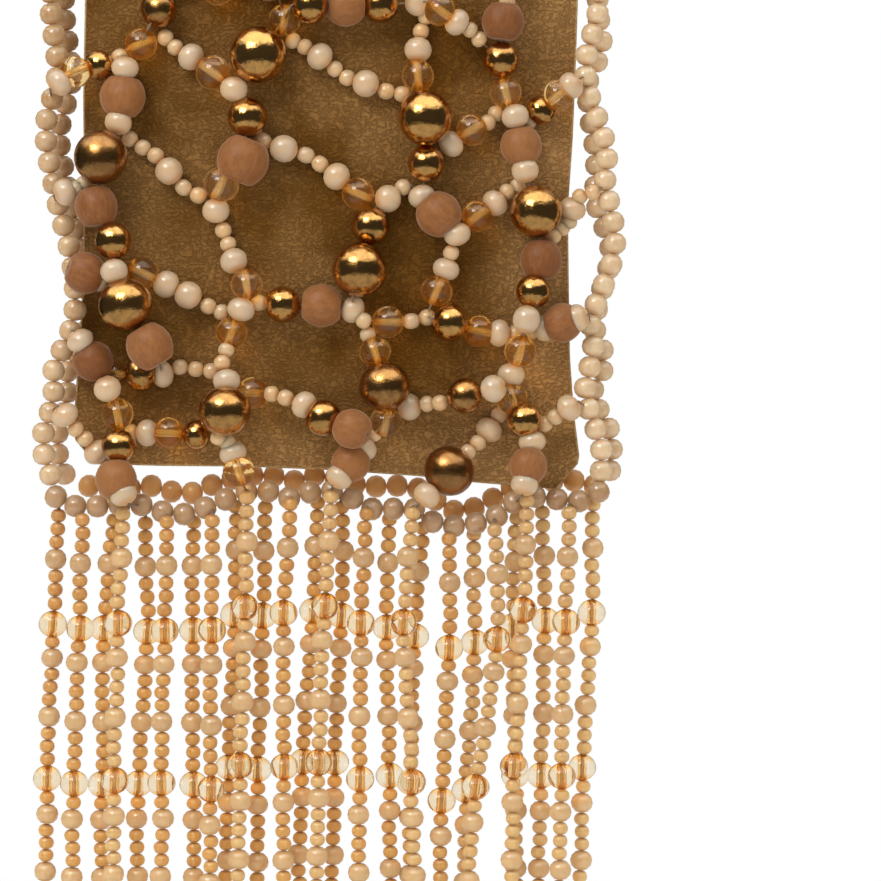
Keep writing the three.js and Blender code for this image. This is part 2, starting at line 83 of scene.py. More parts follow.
# beads by their code: across the hole, along the hole and, in the net, the piece that they belong to
beadKinds = {
    "L": {"across": 16.5, "along": 16.5, "piece": "gold"},
    "M": {"across": 11.3, "along": 11.3, "piece": "gold"},
    "m": {"across": 9.2, "along": 9.2, "piece": "gold"},
    "W": {"across": 13.4, "along": 11.6, "piece": "wood"},
    "G": {"across": 9.3, "along": 9.3, "piece": "glass"},
    "g": {"across": 7.3, "along": 7.3, "piece": "glass"},
    "C": {"across": 8.3, "along": 7.3, "piece": "cream"},
    "s": {"across": 5.0, "along": 5.0, "piece": "cream"},
    "r": {"across": 6.6, "along": 6.6},
    "t": {"across": 4.0, "along": 4.0},
    "c": {"across": 6.4, "along": 6.4},
    "v": {"across": 8.2, "along": 8.2},
}

# front net: every bead with its place across and down from the mouth, in millimetres, strand by strand;
# some with their own tone, from pale or bright to deep or aged, and size
netBeads = {
    "net_column_1": "C -60.3 40.9, W -61.2 49.4 0.3 1.04, C -62.4 57.3, L -67.3 68.2 0.75 0.98, "
        "W -68.8 83 0.75 0.96, M -63.6 93.3 0.2 1, C -63 102.7, L -59.7 112.7 0.25 1, W -52.4 125.2 0.35 1.05",
    "net_column_2": "C -15.5 4.8, W -15.2 14.5, G -12.1 26.4, L -20 37.3 0.05 1.04, C -27.3 47.6, "
        "M -23.3 55.8 0.05 1.1, W -24.5 69.1 0.4 1.18, G -31.2 76.1 0 1.12, C -33 83.9, s -30.9 89.7, s -29.4 93.9, "
        "C -27.6 99.1, G -23.6 106.4, C -25.2 113.9, G -28.2 120.9, s -29.7 126.1, s -30.9 130, C -29.4 135.5, "
        "L -29.7 144.8 0.35 0.96, s -31.8 152.7, s -29.1 154.2, C -27.6 157.3, G -25.8 162.7",
    "net_column_3": "M -4.2 22.7, W 6.4 22.4 0.3 0.95, M 16.7 21.8, C 28.2 20.9, s 30.6 25.2, s 29.1 29.4, "
        "C 28.2 35.2, G 28.2 43.3, L 30.3 56.4 0.1 1, M 30.6 69.7 0.15 1, C 29.4 79.7, W 34.5 85.2 0.4 1.03, "
        "C 40 91.2, s 38.2 96.7, C 36.7 101.5, G 33.9 108.2",
    "net_column_4": "C 56.6 7.4, C 57 14.6, s 55.2 20.6, W 53.9 27 0.9 0.96, M 53.3 38.2 0.2 1, G 54.8 48.2, "
        "C 57.6 55.5, W 59.4 64.2 0.1 0.94, C 60.6 71.8, L 63.9 84.2 0.2 0.96, W 65.5 98.8 0.9 0.95, "
        "M 63 108.5 0.2 0.94, C 60.9 117, G 59.1 126.4, C 56.4 133.6, G 56.7 140.9, M 60.3 147.3 0.15 0.96, "
        "C 62.7 153.9, W 61.5 161.2 0.3 0.86, C 60.3 166.7",
    "rung_top": "M -50.3 23, s -47.3 17.3, s -42.6 16.4, G -32.4 17, s -25 15.5",
    "rung_left_top": "C -80 45.5, G -75.5 42.1, m -68.5 39.7, s -62.4 37, G -55.8 33.3, s -48.5 31.2, s -45.5 34.2, "
        "C -40.6 37.3, G -33.9 42.1 0 1.1",
    "rung_1_2_upper": "s -59.4 61.8, s -55.5 64.5, s -51.5 67, C -47.3 71.8, s -43 76.7, s -38.5 79.1",
    "rung_1_2_middle": "G -55.5 102.7, C -48.2 106.1, C -41.5 109.4, s -35.5 112.7, s -31.5 114.5",
    "rung_1_2_lower": "C -73.9 123.3, W -70.3 129.4 1 0.92, g -63.6 133, M -55.8 133.3 0.3 0.96, C -49.4 133.3, "
        "s -44.2 131.2, s -39.4 131.8, s -34.8 132.4",
    "drop_left": "C -65.5 137.9, G -62.7 145.5, M -62.1 155.2 0.25 0.95, W -62.7 165.2 0.0 0.94, C -60.3 169.7",
    "rung_2_3_top": "s -9.7 32.4, s -6.1 34.2, C -1.5 37.3, s 3 40.9, s 6.7 43.6, C 12.4 45.5, s 18.5 47.6, "
        "s 23.3 48.5",
    "rung_2_3_upper": "s -18.8 62.7, C -12.4 65.2, s -5.8 67, s -1.5 69.7, C 3.6 73.6, G 10 78.8, C 19.1 80.3, "
        "s 23.6 76.7",
    "rung_2_3_middle": "s -20 111.8, M -12.7 112.4 0.1 1, W -0.9 112.7 0.35 0.97, C 8.5 113.9, s 11.8 117.3, "
        "G 19.1 117.6, s 26.1 117.3, s 30.9 116.1",
    "rung_2_3_lower": "G -22.1 139.1, s -16.1 139.4, s -11.8 140.6, C -6.1 142.7, M -0.3 146.7 0.3 1, "
        "W 8.5 150 0.25 0.9",
    "drop_middle": "s 13 121.5, G 15.2 126.7, L 18.2 137.3 0.6 0.95, G 18.5 147.9, s 14.8 151.5, C 11.8 155.8, "
        "W 7.9 160.3 0.15 0.88, C 4.5 164.5",
    "rung_3_4_top": "G 34.8 23.9, C 40 27.3, s 43.9 29.4, s 46.7 32.1",
    "rung_3_4_upper": "C 38.2 63.6, G 44.5 59.4, s 49.4 57, s 51.8 54.2",
    "rung_3_4_second": "G 46.1 85.5, C 51.5 81.5, s 55.2 77.9, s 58.5 76.1",
    "rung_3_4_middle": "M 37.9 117.9 0.1 1.03, G 46.7 120.3, C 52.7 120.9, s 57.6 120.9",
    "rung_3_4_lower": "C 25.5 143.3, s 30.9 142.4, s 34.8 142.1, M 42.4 140 0.5 0.96, C 50.9 137.9",
}
tiedBeads = [  # short strands, with the node of the strand that carries each
    ("drop_left", "s -59.1 150.9, C -54.2 151.2, G -47.6 151.2, m -39.1 151.8"),
    ("rung_2_3_upper", "M 13.9 88.8 0.25 1.05, L 10.6 102.1 0.3 1.03"),
    ("net_column_4", "s 52.7 145.8, C 49.7 150.3, s 46.4 154.2, s 43.3 157, L 37.6 162.7 0.85 0.94, C 30.9 170"),
    ("side_front_left", "s -73 75.8, s -75.2 77.4, C -78.5 78.5"),
    ("side_front_left", "C -67.9 104.5, W -72.1 103 0.7 0.95"),
    ("side_front_left", "C -69.4 157, s -72.7 153, s -75.5 150, C -78.5 145.8"),
    ("side_front_right", "s 61.8 56.4, m 65.5 53.3, G 70.9 48.8, C 74.5 46.1"),
    ("side_front_right", "s 69.4 91.2, s 72.1 88.8, s 74.2 86.8, C 75.2 83, s 77.3 79.4, s 81.2 78.2"),
    ("side_front_right", "s 62.7 120.3, C 66.4 119.4, W 71.8 117.9 0.45 0.9, C 76.4 116.4"),
    ("side_front_right", "s 66.7 148.5, s 69.7 146.4, C 73.9 143.6"),
]
backStrands = ["net_column_1", "net_column_2", "net_column_3", "net_column_4", "rung_1_2_upper", "rung_1_2_lower",
               "rung_2_3_upper", "rung_3_4_upper"]

# strands of one bead, as the points that they hang through
edgeRoutes = {
    "left": [(-83.5, 1), (-83.5, 22), (-81.5, 42), (-85, 59), (-82.5, 76), (-76.5, 102.5), (-76.5, 116.5),
             (-83, 134), (-82.5, 140.5), (-86, 154), (-82.5, 167)],
    "right": [(83.5, 1), (83, 22), (79, 41.5), (85.5, 65.5), (85, 74), (88, 94.5), (80.5, 118.5), (81.5, 126),
              (79, 138.5), (84, 157), (83.5, 166)],
    "rightBack": [(84, 1), (83.5, 20), (84.6, 33), (80.5, 43), (83, 67), (83, 80), (87.5, 95), (84, 110),
                  (82.5, 118.5), (85.7, 129), (82, 139), (87.5, 152), (87, 166)],
    "borderFront": [(-83.8, 167.8), (-81, 171.5), (-75.5, 173.5), (-56.5, 173), (-44.5, 176), (-20.5, 168.5),
                    (-10.5, 171), (-1.5, 168.5), (5, 169.5), (16.5, 175), (25, 173.5), (32, 178), (40.5, 179.5),
                    (52, 176.5), (58, 172), (64.5, 170.5), (76.5, 172), (82.5, 169.5), (85.2, 166.5)],
    "borderBack": [(-76.5, 166.5), (-67.5, 169), (-54.5, 167.5), (-43.5, 170), (-32, 166), (-19, 164), (-10, 166),
                   (-2, 164), (10.5, 167.5), (27, 168), (40.5, 175.5), (51, 171.5), (59, 167.5), (77.5, 166),
                   (85.5, 168.5)],
    "mouth": [(-76, 0.5), (-40, 1), (0, 1.5), (40, 1), (76, 0.5)],
}

# how beads are laid: the lift where strands cross, and how the back net differs from the front one
lifting = {"passes": 24, "share": 0.5, "slope": 0.3, "most": 11.0, "mouthPress": 0.9, "backInset": 2.5,
           "backShare": 0.94, "aside": 5.0}
curveForm = {"steps": 200, "endGap": 1e-9, "leastStep": 1e-4}


def makeBead(code, at, face, tone=None, size=1.0):
    kind = beadKinds[code]
    return {"code": code, "radius": kind["across"] / 2 * size, "along": kind["along"] * size, "at": at, "face": face,
            "tone": tone, "size": size}


# a thread doesn't drop steeply from a bead that stands out to the next one
def easeThread(beads):
    for order, step in ((range(1, len(beads)), -1), (range(len(beads) - 2, -1, -1), 1)):
        for i in order:
            at, beside, face = beads[i]["at"], beads[i + step]["at"], beads[i]["face"]
            gap = math.hypot(at.x - beside.x, at.z - beside.z)
            at.y = face * max(at.y * face, beside.y * face - lifting["slope"] * gap)


# beads of a strand from its text; face is -1 for the front and 1 for the back, which mirrors the front
def layBeads(text, face):
    beads = []
    for item in text.split(", "):
        code, *numbers = item.split()
        across, down, *own = map(float, numbers)
        if face > 0:
            across, down = across * lifting["backShare"], down * lifting["backShare"]
        bead = makeBead(code, Vector((-face * across, 0, heightAt(down))), face, *own)
        bead["at"].y = face * restDepth(bead["at"].x, down, bead["radius"])
        beads.append(bead)
    easeThread(beads)
    return beads


# a smooth curve through points: its length, its places by share of the length, and its places by share of the points
def hangingCurve(points):
    points = [Vector(p) for p in points]
    last, steps = len(points) - 1, curveForm["steps"]
    ahead = [2 * points[0] - points[1], *points, 2 * points[last] - points[last - 1]]

    def at(t):
        place = min(t * last, last - curveForm["endGap"])
        i = int(place)
        w = place - i
        p0, p1, p2, p3 = ahead[i:i + 4]
        d0, d1, d2 = (max((b - a).length ** 0.5, curveForm["leastStep"]) for a, b in ((p0, p1), (p1, p2), (p2, p3)))
        t1 = ((p1 - p0) / d0 - (p2 - p0) / (d0 + d1) + (p2 - p1) / d1) * d1
        t2 = ((p2 - p1) / d1 - (p3 - p1) / (d1 + d2) + (p3 - p2) / d2) * d1
        return p1 + t1 * w + (3 * (p2 - p1) - 2 * t1 - t2) * w ** 2 + (2 * (p1 - p2) + t1 + t2) * w ** 3

    places = [at(i / steps) for i in range(steps + 1)]
    lengths = [0.0]
    for a, b in zip(places, places[1:]):
        lengths.append(lengths[-1] + (b - a).length)

    def atLength(share):
        target = share * lengths[-1]
        i = next(k for k in range(steps) if lengths[k + 1] >= target)
        return at((i + (target - lengths[i]) / (lengths[i + 1] - lengths[i])) / steps)

    return lengths[-1], atLength, at


def rowOfBeads(points, face):
    length, atLength, _ = hangingCurve(points)
    count = round(length / beadKinds["r"]["along"])
    return [makeBead("r", atLength((i + 0.5) / count), face) for i in range(count)]


def hangingRow(node, route, face, depth, inset=0):
    points = [(x - math.copysign(inset, x), face * depth, heightAt(down)) for x, down in edgeRoutes[route]]
    return {"node": node, "beads": rowOfBeads(points, face)}


# where beads of two strands cross, the one in front is lifted clear of the other; rows stay where they are
def liftApart(rows, strands):
    pairs = []
    everything = rows + strands
    for i, one in enumerate(everything):
        for other in everything[max(i + 1, len(rows)):]:
            for a in one["beads"]:
                for b in other["beads"]:
                    flat = math.hypot(b["at"].x - a["at"].x, b["at"].z - a["at"].z)
                    reach = a["radius"] + b["radius"]
                    if flat < reach:
                        pairs.append((a, b, one in rows, math.sqrt(reach * reach - flat * flat)))
    for _ in range(lifting["passes"]):
        for a, b, fixed, need in pairs:
            face = a["face"]
            front, back = (b, a) if fixed or (b["at"].y - a["at"].y) * face > 0 else (a, b)
            lack = need - (front["at"].y - back["at"].y) * face
            if lack > 0:
                down = -pouchForm["mouthDown"] - front["at"].z
                most = restDepth(front["at"].x, down, front["radius"]) + lifting["most"]
                front["at"].y = face * min(front["at"].y * face + lifting["share"] * lack, most)
        for strand in strands:
            easeThread(strand["beads"])


panelDepth, inset = pouchForm["panelDepth"], lifting["backInset"]
mouthDepth = pouchHalfDepth(0, 0) + pouchForm["clearance"] + lifting["mouthPress"] * beadKinds["r"]["across"] / 2

borderFront = hangingRow("border_front", "borderFront", -1, panelDepth)
frontRows = [hangingRow("side_front_left", "left", -1, panelDepth),
             hangingRow("side_front_right", "right", -1, panelDepth), borderFront,
             hangingRow("mouth_row_front", "mouth", -1, mouthDepth)]

# fringe: its beads from the knot down, how close they sit, how a strand wanders, and the swing that the net clears
fringeForm = {"beads": "tttctttvtctttctttvtctttctttvt", "topPitch": 1.025, "pitch": 0.955, "layerDepth": 1.08,
              "lean": 0.5, "fade": 20, "wander": 0.5, "wave": 18, "apart": 7.3, "planes": (0.4, 5.6), "inward": 0.4,
              "jitter": 0.25, "swing": -0.7, "swungBeads": 2, "frontLayer": -3}
# where a strand starts across, its first and second glass bead (across, down), and how far behind the border it hangs
fringeLayout = [
    (-81.5, -83.0, 209.4, -84.8, 256.4, 1.5), (-73.5, -74.8, 210.6, -76.4, 257.6, -1.5),
    (-65.0, -67.6, 210.9, -68.2, 258.5, 4.0), (-61.0, -62.7, 208.8, -63.9, 256.4, -4.0),
    (-55.0, -54.8, 211.8, -57.0, 258.2, 4.0), (-48.0, -48.8, 211.2, -49.4, 257.3, -2.6),
    (-40.5, -40.9, 211.5, -40.6, 258.5, 4.0), (-34.0, -34.2, 210.9, -34.8, 259.1, -3.6),
    (-27.5, -27.9, 206.7, -29.7, 253.3, 4.0), (-23.5, -23.9, 203.9, -25.5, 251.8, -4.0),
    (-18.5, -19.4, 207.0, -20.6, 253.9, 4.0), (-10.5, -12.4, 205.8, -12.4, 252.4, -2.6),
    (-2.5, -4.2, 205.5, -7.0, 251.5, 4.0), (2.0, 0.0, 203.6, -1.8, 250.9, -4.0),
    (5.0, 4.8, 207.0, 2.6, 251.8, 4.0), (12.4, 10.9, 208.8, 10.3, 256.1, -2.8),
    (19.5, 18.5, 210.6, 19.4, 255.8, 4.0), (26.5, 24.2, 208.5, 26.4, 256.7, -5.0),
    (29.7, 27.0, 213.3, 25.8, 257.9, 4.6), (37.5, 37.6, 216.4, 35.5, 262.7, -2.0),
    (45.0, 45.2, 215.2, 43.0, 260.3, 4.6), (51.5, 52.4, 213.6, 45.8, 258.2, -5.4),
    (58.0, 57.0, 210.3, 57.9, 255.8, 4.4), (61.0, 60.0, 204.8, 57.3, 252.1, -4.0),
    (66.0, 66.7, 208.5, 65.5, 255.8, 4.0), (74.0, 72.7, 208.5, 71.5, 255.2, -3.2),
    (81.5, 81.2, 206.1, 78.5, 253.3, 4.0),
]


def knotOnRow(beads, x):
    later = next((i for i, bead in enumerate(beads) if i > 0 and bead["at"].x >= x), len(beads) - 1)
    a, b = beads[later - 1]["at"], beads[later]["at"]
    return a.lerp(b, clamp01((x - a.x) / (b.x - a.x)))


def fringeStrand(i, across, firstAcross, firstDown, nextAcross, nextDown, layer):
    knot = knotOnRow(borderFront["beads"], across)
    codes = fringeForm["beads"]
    lengths = [beadKinds[code]["along"] * fringeForm["topPitch" if k < codes.index("v") else "pitch"]
               for k, code in enumerate(codes)]
    places = [sum(lengths[:k]) + length / 2 for k, length in enumerate(lengths)]
    glass = [place for code, place in zip(codes, places) if code == "v"]
    y = knot.y + layer * fringeForm["layerDepth"]
    first = Vector((firstAcross, y, heightAt(firstDown)))
    second = Vector((nextAcross, y, heightAt(nextDown)))
    top = Vector((across, y, first.z + glass[0] - places[0]))
    lean = (second.x - first.x) / (first.z - second.z)
    third = second + Vector((lean * fringeForm["lean"], 0, -1)).normalized() * (glass[2] - glass[1])
    _, _, at = hangingCurve([top, first, second, third])
    marks = [places[0], *glass]
    shake = random.Random(i)
    beads = []
    for code, place in zip(codes, places):
        leg = sum(place > mark for mark in glass[:2])
        share = (place - marks[leg]) / (marks[leg + 1] - marks[leg])
        if share <= 1:
            spot = at((leg + share) / len(glass))
        else:
            spot = third + (third - second).normalized() * (place - glass[2])
        fade = clamp01(place / fringeForm["fade"])
        waves = [noise.noise(Vector((i * fringeForm["apart"], place / fringeForm["wave"], plane)))
                 for plane in fringeForm["planes"]]
        sideways, inward = (wave * fringeForm["wander"] * fade for wave in waves)
        jitter = shake.uniform(-1, 1) * fringeForm["jitter"]
        beads.append(makeBead(code, spot + Vector((sideways + jitter, inward * fringeForm["inward"], 0)), -1))
    return {"node": f"fringe_{i + 1:02d}", "beads": beads, "knot": knot, "layer": layer}


fringeStrands = [fringeStrand(i, *place) for i, place in enumerate(fringeLayout)]
print("fringe:", len(fringeStrands), "strands")


# the top beads of a strand, swung forward
def swungTop(strand):
    swing = Matrix.Rotation(fringeForm["swing"], 3, "X")
    return {"beads": [makeBead(bead["code"], strand["knot"] + swing @ (bead["at"] - strand["knot"]), -1)
                      for bead in strand["beads"][:fringeForm["swungBeads"]]]}


frontNet = [{"node": node, "beads": layBeads(text, -1)} for node, text in [*netBeads.items(), *tiedBeads]]
swungTops = [swungTop(strand) for strand in fringeStrands if strand["layer"] < fringeForm["frontLayer"]]
liftApart(frontRows + swungTops, frontNet)

backRows = [hangingRow("net_back", "mouth", 1, mouthDepth),
            hangingRow("side_back_left", "left", 1, panelDepth, inset),
            hangingRow("side_back_right", "rightBack", 1, panelDepth),
            hangingRow("border_back", "borderBack", 1, panelDepth)]
backNet = [{"node": "net_back", "beads": layBeads(netBeads[name], 1)} for name in backStrands]
# the last bead of the back's fourth column hides behind the wood bead of drop_left, seen from the front
backNet[3]["beads"][-1]["at"].x -= lifting["aside"]
liftApart(backRows, backNet)
print("net:", sum(len(s["beads"]) for s in frontRows + frontNet + backRows + backNet), "beads")

strapForm = {"bend": 9, "gather": 3.7, "gap": 0.9}


# each strand of the strap runs up from one side, over the hook and down to the other
def strapStrand(node, face):
    across, down = edgeRoutes["right"][0]
    top = heightAt(down) + strapForm["gap"]
    side = across - (inset if face > 0 else 0)
    bend, gather = strapForm["bend"], strapForm["gather"]

    def leg(way):
        return [(way * side, face * panelDepth, top),
                (way * (side + bend) / 2, face * (panelDepth + gather) / 2, top / 2),
                (way * bend, face * gather, -bend)]

    crest = (0, face * gather, beadKinds["r"]["across"] / 2)
    return {"node": node, "beads": rowOfBeads([*leg(-1), crest, *reversed(leg(1))], face)}


strapStrands = [strapStrand("strap_front", -1), strapStrand("strap_back", 1)]


# nodes of a material, each added with its settings and inputs; an input is a value or the output of another node
class NodeWork:
    def __init__(self, tree):
        self.nodes, self.links = tree.nodes, tree.links

    def feed(self, node, inputs):
        for name, given in inputs.items():
            if isinstance(given, bpy.types.NodeSocket):
                self.links.new(given, node.inputs[name])
            else:
                node.inputs[name].default_value = given

    def add(self, kind, inputs=None, **settings):
        node = self.nodes.new(kind)
        for name, value in settings.items():
            setattr(node, name, value)
        self.feed(node, inputs or {})
        return node

    def calc(self, operation, *given, clamp=False):
        return self.add("ShaderNodeMath", dict(enumerate(given)), operation=operation, use_clamp=clamp).outputs[0]

    def mixColour(self, factor, a, b):
        return self.add("ShaderNodeMix", {0: factor, 6: a, 7: b}, data_type="RGBA").outputs[2]

    def mixValue(self, factor, a, b):
        return self.add("ShaderNodeMix", {0: factor, 2: a, 3: b}, data_type="FLOAT").outputs[0]

    def stretch(self, value, low, high, outLow=0.0, outHigh=1.0):
        inputs = {"Value": value, "From Min": low, "From Max": high, "To Min": outLow, "To Max": outHigh}
        return self.add("ShaderNodeMapRange", inputs, interpolation_type="SMOOTHSTEP").outputs["Result"]

    def noiseAt(self, place, scale, detail, roughness):
        inputs = {"Vector": place, "Scale": scale, "Detail": detail, "Roughness": roughness}
        return self.add("ShaderNodeTexNoise", inputs).outputs["Fac"]

    def scaled(self, place, scale):
        return self.add("ShaderNodeMapping", {"Vector": place, "Scale": scale}).outputs["Vector"]

    def bump(self, height, strength, distance):
        inputs = {"Height": height, "Strength": strength, "Distance": distance}
        return self.add("ShaderNodeBump", inputs).outputs["Normal"]

    def attribute(self, name, output="Fac"):
        return self.add("ShaderNodeAttribute", attribute_name=name).outputs[output]

    def objectPlace(self):
        return self.add("ShaderNodeTexCoord").outputs["Object"]

    def splitAxes(self, place):
        return self.add("ShaderNodeSeparateXYZ", {0: place}).outputs

    def mixSurfaces(self, factor, a, b):
        mix = self.add("ShaderNodeMixShader", {"Fac": factor, 1: a.outputs[0], 2: b.outputs[0]})
        self.feed(self.nodes["Material Output"], {"Surface": mix.outputs[0]})


materials = {}


def newMaterial(name):
    materials[name] = bpy.data.materials.new(name)
    materials[name].use_nodes = True
    work = NodeWork(materials[name].node_tree)
    return work, work.nodes["Principled BSDF"]


# in each look: a noise has its scale, detail and roughness, a range what it goes from and to, a bump strength and depth
beadPattern = {"cloud": (0.35, 2.0, 0.55), "cloudRange": (0.3, 0.7, -0.5, 0.5), "fine": (2.6, 3.0, 0.65),
               "speckRange": (0.52, 0.72), "endShadeRange": (0.55, 1.0)}


# colour of a bead: its own tone between pale and deep, with clouds, fine specks and a painted shade on its ends, where
# beads touch
def makeBeadToneGroup():
    group = bpy.data.node_groups.new("beadTone", "ShaderNodeTree")
    for way, kind, names in (("INPUT", "NodeSocketColor", ("Pale", "Deep", "Speck", "End")),
                             ("INPUT", "NodeSocketFloat", ("Specks", "Clouds", "EndShadeAmount")),
                             ("OUTPUT", "NodeSocketColor", ("Colour",)), ("OUTPUT", "NodeSocketFloat", ("Height",))):
        for name in names:
            group.interface.new_socket(name, in_out=way, socket_type=kind)
    work = NodeWork(group)
    given, out = work.add("NodeGroupInput").outputs, work.add("NodeGroupOutput")
    spot = work.attribute("beadSpot", "Vector")
    fine = work.noiseAt(spot, *beadPattern["fine"])
    cloud = work.stretch(work.noiseAt(spot, *beadPattern["cloud"]), *beadPattern["cloudRange"])
    shift = work.calc("MULTIPLY_ADD", cloud, given["Clouds"], work.attribute("beadTone"), clamp=True)
    tone = work.mixColour(shift, given["Pale"], given["Deep"])
    speck = work.calc("MULTIPLY", work.stretch(fine, *beadPattern["speckRange"]), given["Specks"])
    colour = work.mixColour(speck, tone, given["Speck"])
    # painted shade: each bead turns to its end colour towards its holes, where it touches its neighbours
    end = work.calc("MULTIPLY", work.stretch(work.attribute("beadEndShade"), *beadPattern["endShadeRange"]), given["EndShadeAmount"])
    work.feed(out, {"Colour": work.mixColour(end, colour, given["End"]), "Height": fine})
    return group


beadToneGroup = makeBeadToneGroup()
# colours: pale, deep, specks and the painted shade of the ends; then how far the end shade, specks and clouds show,
# roughness and coat
finishSockets = ("Pale", "Deep", "Speck", "End", "EndShadeAmount", "Specks", "Clouds", "Roughness", "Coat Weight")
beadFinishes = {
    "creamBead": ((0.59, 0.46, 0.32, 1), (0.735, 0.46, 0.225, 1), (0.50, 0.31, 0.15, 1), (0.58, 0.28, 0.085, 1),
                  0.65, 0.08, 0.25, 0.22, 0.7),
    "edgeBead": ((0.505, 0.338, 0.20, 1), (0.415, 0.257, 0.13, 1), (0.32, 0.18, 0.08, 1), (0.34, 0.17, 0.06, 1),
                 0.65, 0.12, 0.3, 0.24, 0.7),
    "sideBead": ((0.745, 0.57, 0.37, 1), (0.435, 0.27, 0.127, 1), (0.42, 0.25, 0.11, 1), (0.52, 0.27, 0.09, 1),
                 0.6, 0.1, 0.25, 0.24, 0.7),
    # painted light: the back border's beads are a paler copy of the front border's, as if lit from behind
    "backBeadPaintedLight": ((0.70, 0.41, 0.16, 1), (0.59, 0.32, 0.112, 1), (0.56, 0.31, 0.12, 1), (0.66, 0.36, 0.12, 1),
                 0.6, 0.12, 0.3, 0.34, 0.3),
    "fringeSeed": ((0.745, 0.41, 0.132, 1), (0.485, 0.247, 0.079, 1), (0.42, 0.18, 0.04, 1), (0.44, 0.155, 0.022, 1),
                   0.8, 0.1, 0.25, 0.36, 0.25),
    "fringePale": ((0.78, 0.488, 0.214, 1), (0.525, 0.32, 0.142, 1), (0.46, 0.25, 0.09, 1), (0.46, 0.19, 0.045, 1),
                   0.75, 0.08, 0.25, 0.34, 0.3),
    "fringeCream": ((0.73, 0.50, 0.26, 1), (0.495, 0.325, 0.168, 1), (0.50, 0.30, 0.12, 1), (0.52, 0.24, 0.06, 1),
                    0.65, 0.08, 0.25, 0.24, 0.6),
}
beadBump = (0.02, 0.001)
beadBody = {"Coat Roughness": 0.12, "Subsurface Weight": 0.9, "Subsurface Radius": (2.2, 1.5, 0.9),
            "Subsurface Scale": 0.0022, "Sheen Weight": 0.8, "Sheen Roughness": 0.4,
            "Sheen Tint": (1.0, 0.74, 0.42, 1)}


def makeBeadFinish(name, finish):
    work, shader = newMaterial(name)
    tone = work.add("ShaderNodeGroup", node_tree=beadToneGroup)
    for socket, value in zip(finishSockets, finish):
        work.feed(tone if socket in tone.inputs else shader, {socket: value})
    work.feed(shader, {"Base Color": tone.outputs["Colour"],
                       "Normal": work.bump(tone.outputs["Height"], *beadBump), **beadBody})


for name, finish in beadFinishes.items():
    makeBeadFinish(name, finish)

goldLook = {"bright": (0.75, 0.41, 0.108, 1), "aged": (0.345, 0.157, 0.04, 1), "pit": (0.05, 0.028, 0.01, 1),
            "wear": (0.42, 4.0, 0.6), "wearRange": (0.38, 0.72), "wearShare": 0.45, "pits": (2.4, 4.0, 0.7),
            "pitRange": (0.6, 0.72, 0.0, 0.75), "roughRange": (0.0, 1.0, 0.11, 0.3), "bump": (0.2, 0.001),
            "coat": 0.5, "coatRough": 0.05}


def makeGold(look):
    work, shader = newMaterial("agedGold")
    spot = work.attribute("beadSpot", "Vector")
    wear = work.noiseAt(spot, *look["wear"])
    wearAndPaintedLight = work.stretch(wear, *look["wearRange"])
    patina = work.calc("MULTIPLY_ADD", wearAndPaintedLight, look["wearShare"], work.attribute("beadTone"), clamp=True)
    colour = work.mixColour(patina, look["bright"], look["aged"])
    pits = work.stretch(work.noiseAt(spot, *look["pits"]), *look["pitRange"])
    work.feed(shader, {"Base Color": work.mixColour(pits, colour, look["pit"]),
                       "Roughness": work.stretch(patina, *look["roughRange"]),
                       "Normal": work.bump(wear, *look["bump"]), "Metallic": 1.0,
                       "Coat Weight": look["coat"], "Coat Roughness": look["coatRough"]})


makeGold(goldLook)

woodLook = {"pale": (0.345, 0.139, 0.042, 1), "rose": (0.205, 0.069, 0.018, 1), "line": (0.13, 0.041, 0.011, 1),
            "grain": (1.5, 1.5, 0.6), "broad": (0.5, 3.0, 0.55), "broadRange": (0.3, 0.7, -0.5, 0.5),
            "broadShare": 0.5, "fine": (2.6, 4.0, 0.75), "lineRange": (0.45, 0.75, 0.0, 0.5),
            "roughRange": (0.3, 0.7, 0.4, 0.58), "bump": (0.06, 0.001), "shine": 0.3, "dust": (1.0, 0.72, 0.52, 1),
            "dustWeight": 0.45, "dustRough": 0.4}


def makeWood(look):
    work, shader = newMaterial("roseWood")
    spot = work.scaled(work.attribute("beadSpot", "Vector"), look["grain"])
    broad = work.stretch(work.noiseAt(spot, *look["broad"]), *look["broadRange"])
    fine = work.noiseAt(spot, *look["fine"])
    shift = work.calc("MULTIPLY_ADD", broad, look["broadShare"], work.attribute("beadTone"), clamp=True)
    colour = work.mixColour(shift, look["pale"], look["rose"])
    lines = work.stretch(fine, *look["lineRange"])
    work.feed(shader, {"Base Color": work.mixColour(lines, colour, look["line"]),
                       "Roughness": work.stretch(fine, *look["roughRange"]),
                       "Normal": work.bump(fine, *look["bump"]), "Specular IOR Level": look["shine"],
                       "Sheen Weight": look["dustWeight"], "Sheen Roughness": look["dustRough"],
                       "Sheen Tint": look["dust"]})


makeWood(woodLook)

glassLooks = {
    "amberGlass": {"clear": (0.82, 0.64, 0.355, 1), "amber": (0.82, 0.505, 0.125, 1), "end": (0.90, 0.42, 0.06, 1),
                   "shade": (0.99, 0.89, 0.62, 1), "rough": 0.01, "ior": 1.5, "through": 0.97},
    "fringeGlass": {"clear": (0.88, 0.79, 0.62, 1), "amber": (0.88, 0.70, 0.41, 1), "end": (0.91, 0.44, 0.07, 1),
                    "shade": (0.98, 0.88, 0.7, 1), "rough": 0.01, "ior": 1.47, "through": 1.0},
    "amberLining": {"clear": (1.0, 0.76, 0.38, 1), "amber": (0.98, 0.66, 0.27, 1), "end": (0.9, 0.4, 0.06, 1),
                    "shade": (0.99, 0.82, 0.55, 1), "rough": 0.06, "ior": 1.4, "through": 0.82},
    # painted highlight: the net glass's bore lining is pale and partly diffuse, standing in for the bright streak that
    # the bore reflects
    "brightLining": {"clear": (1.0, 0.90, 0.70, 1), "amber": (1.0, 0.82, 0.50, 1), "end": (0.96, 0.55, 0.14, 1),
                     "shade": (0.99, 0.89, 0.62, 1), "rough": 0.12, "ior": 1.3, "through": 0.76},
}
glassEndShadeRange = (0.28, 0.85)


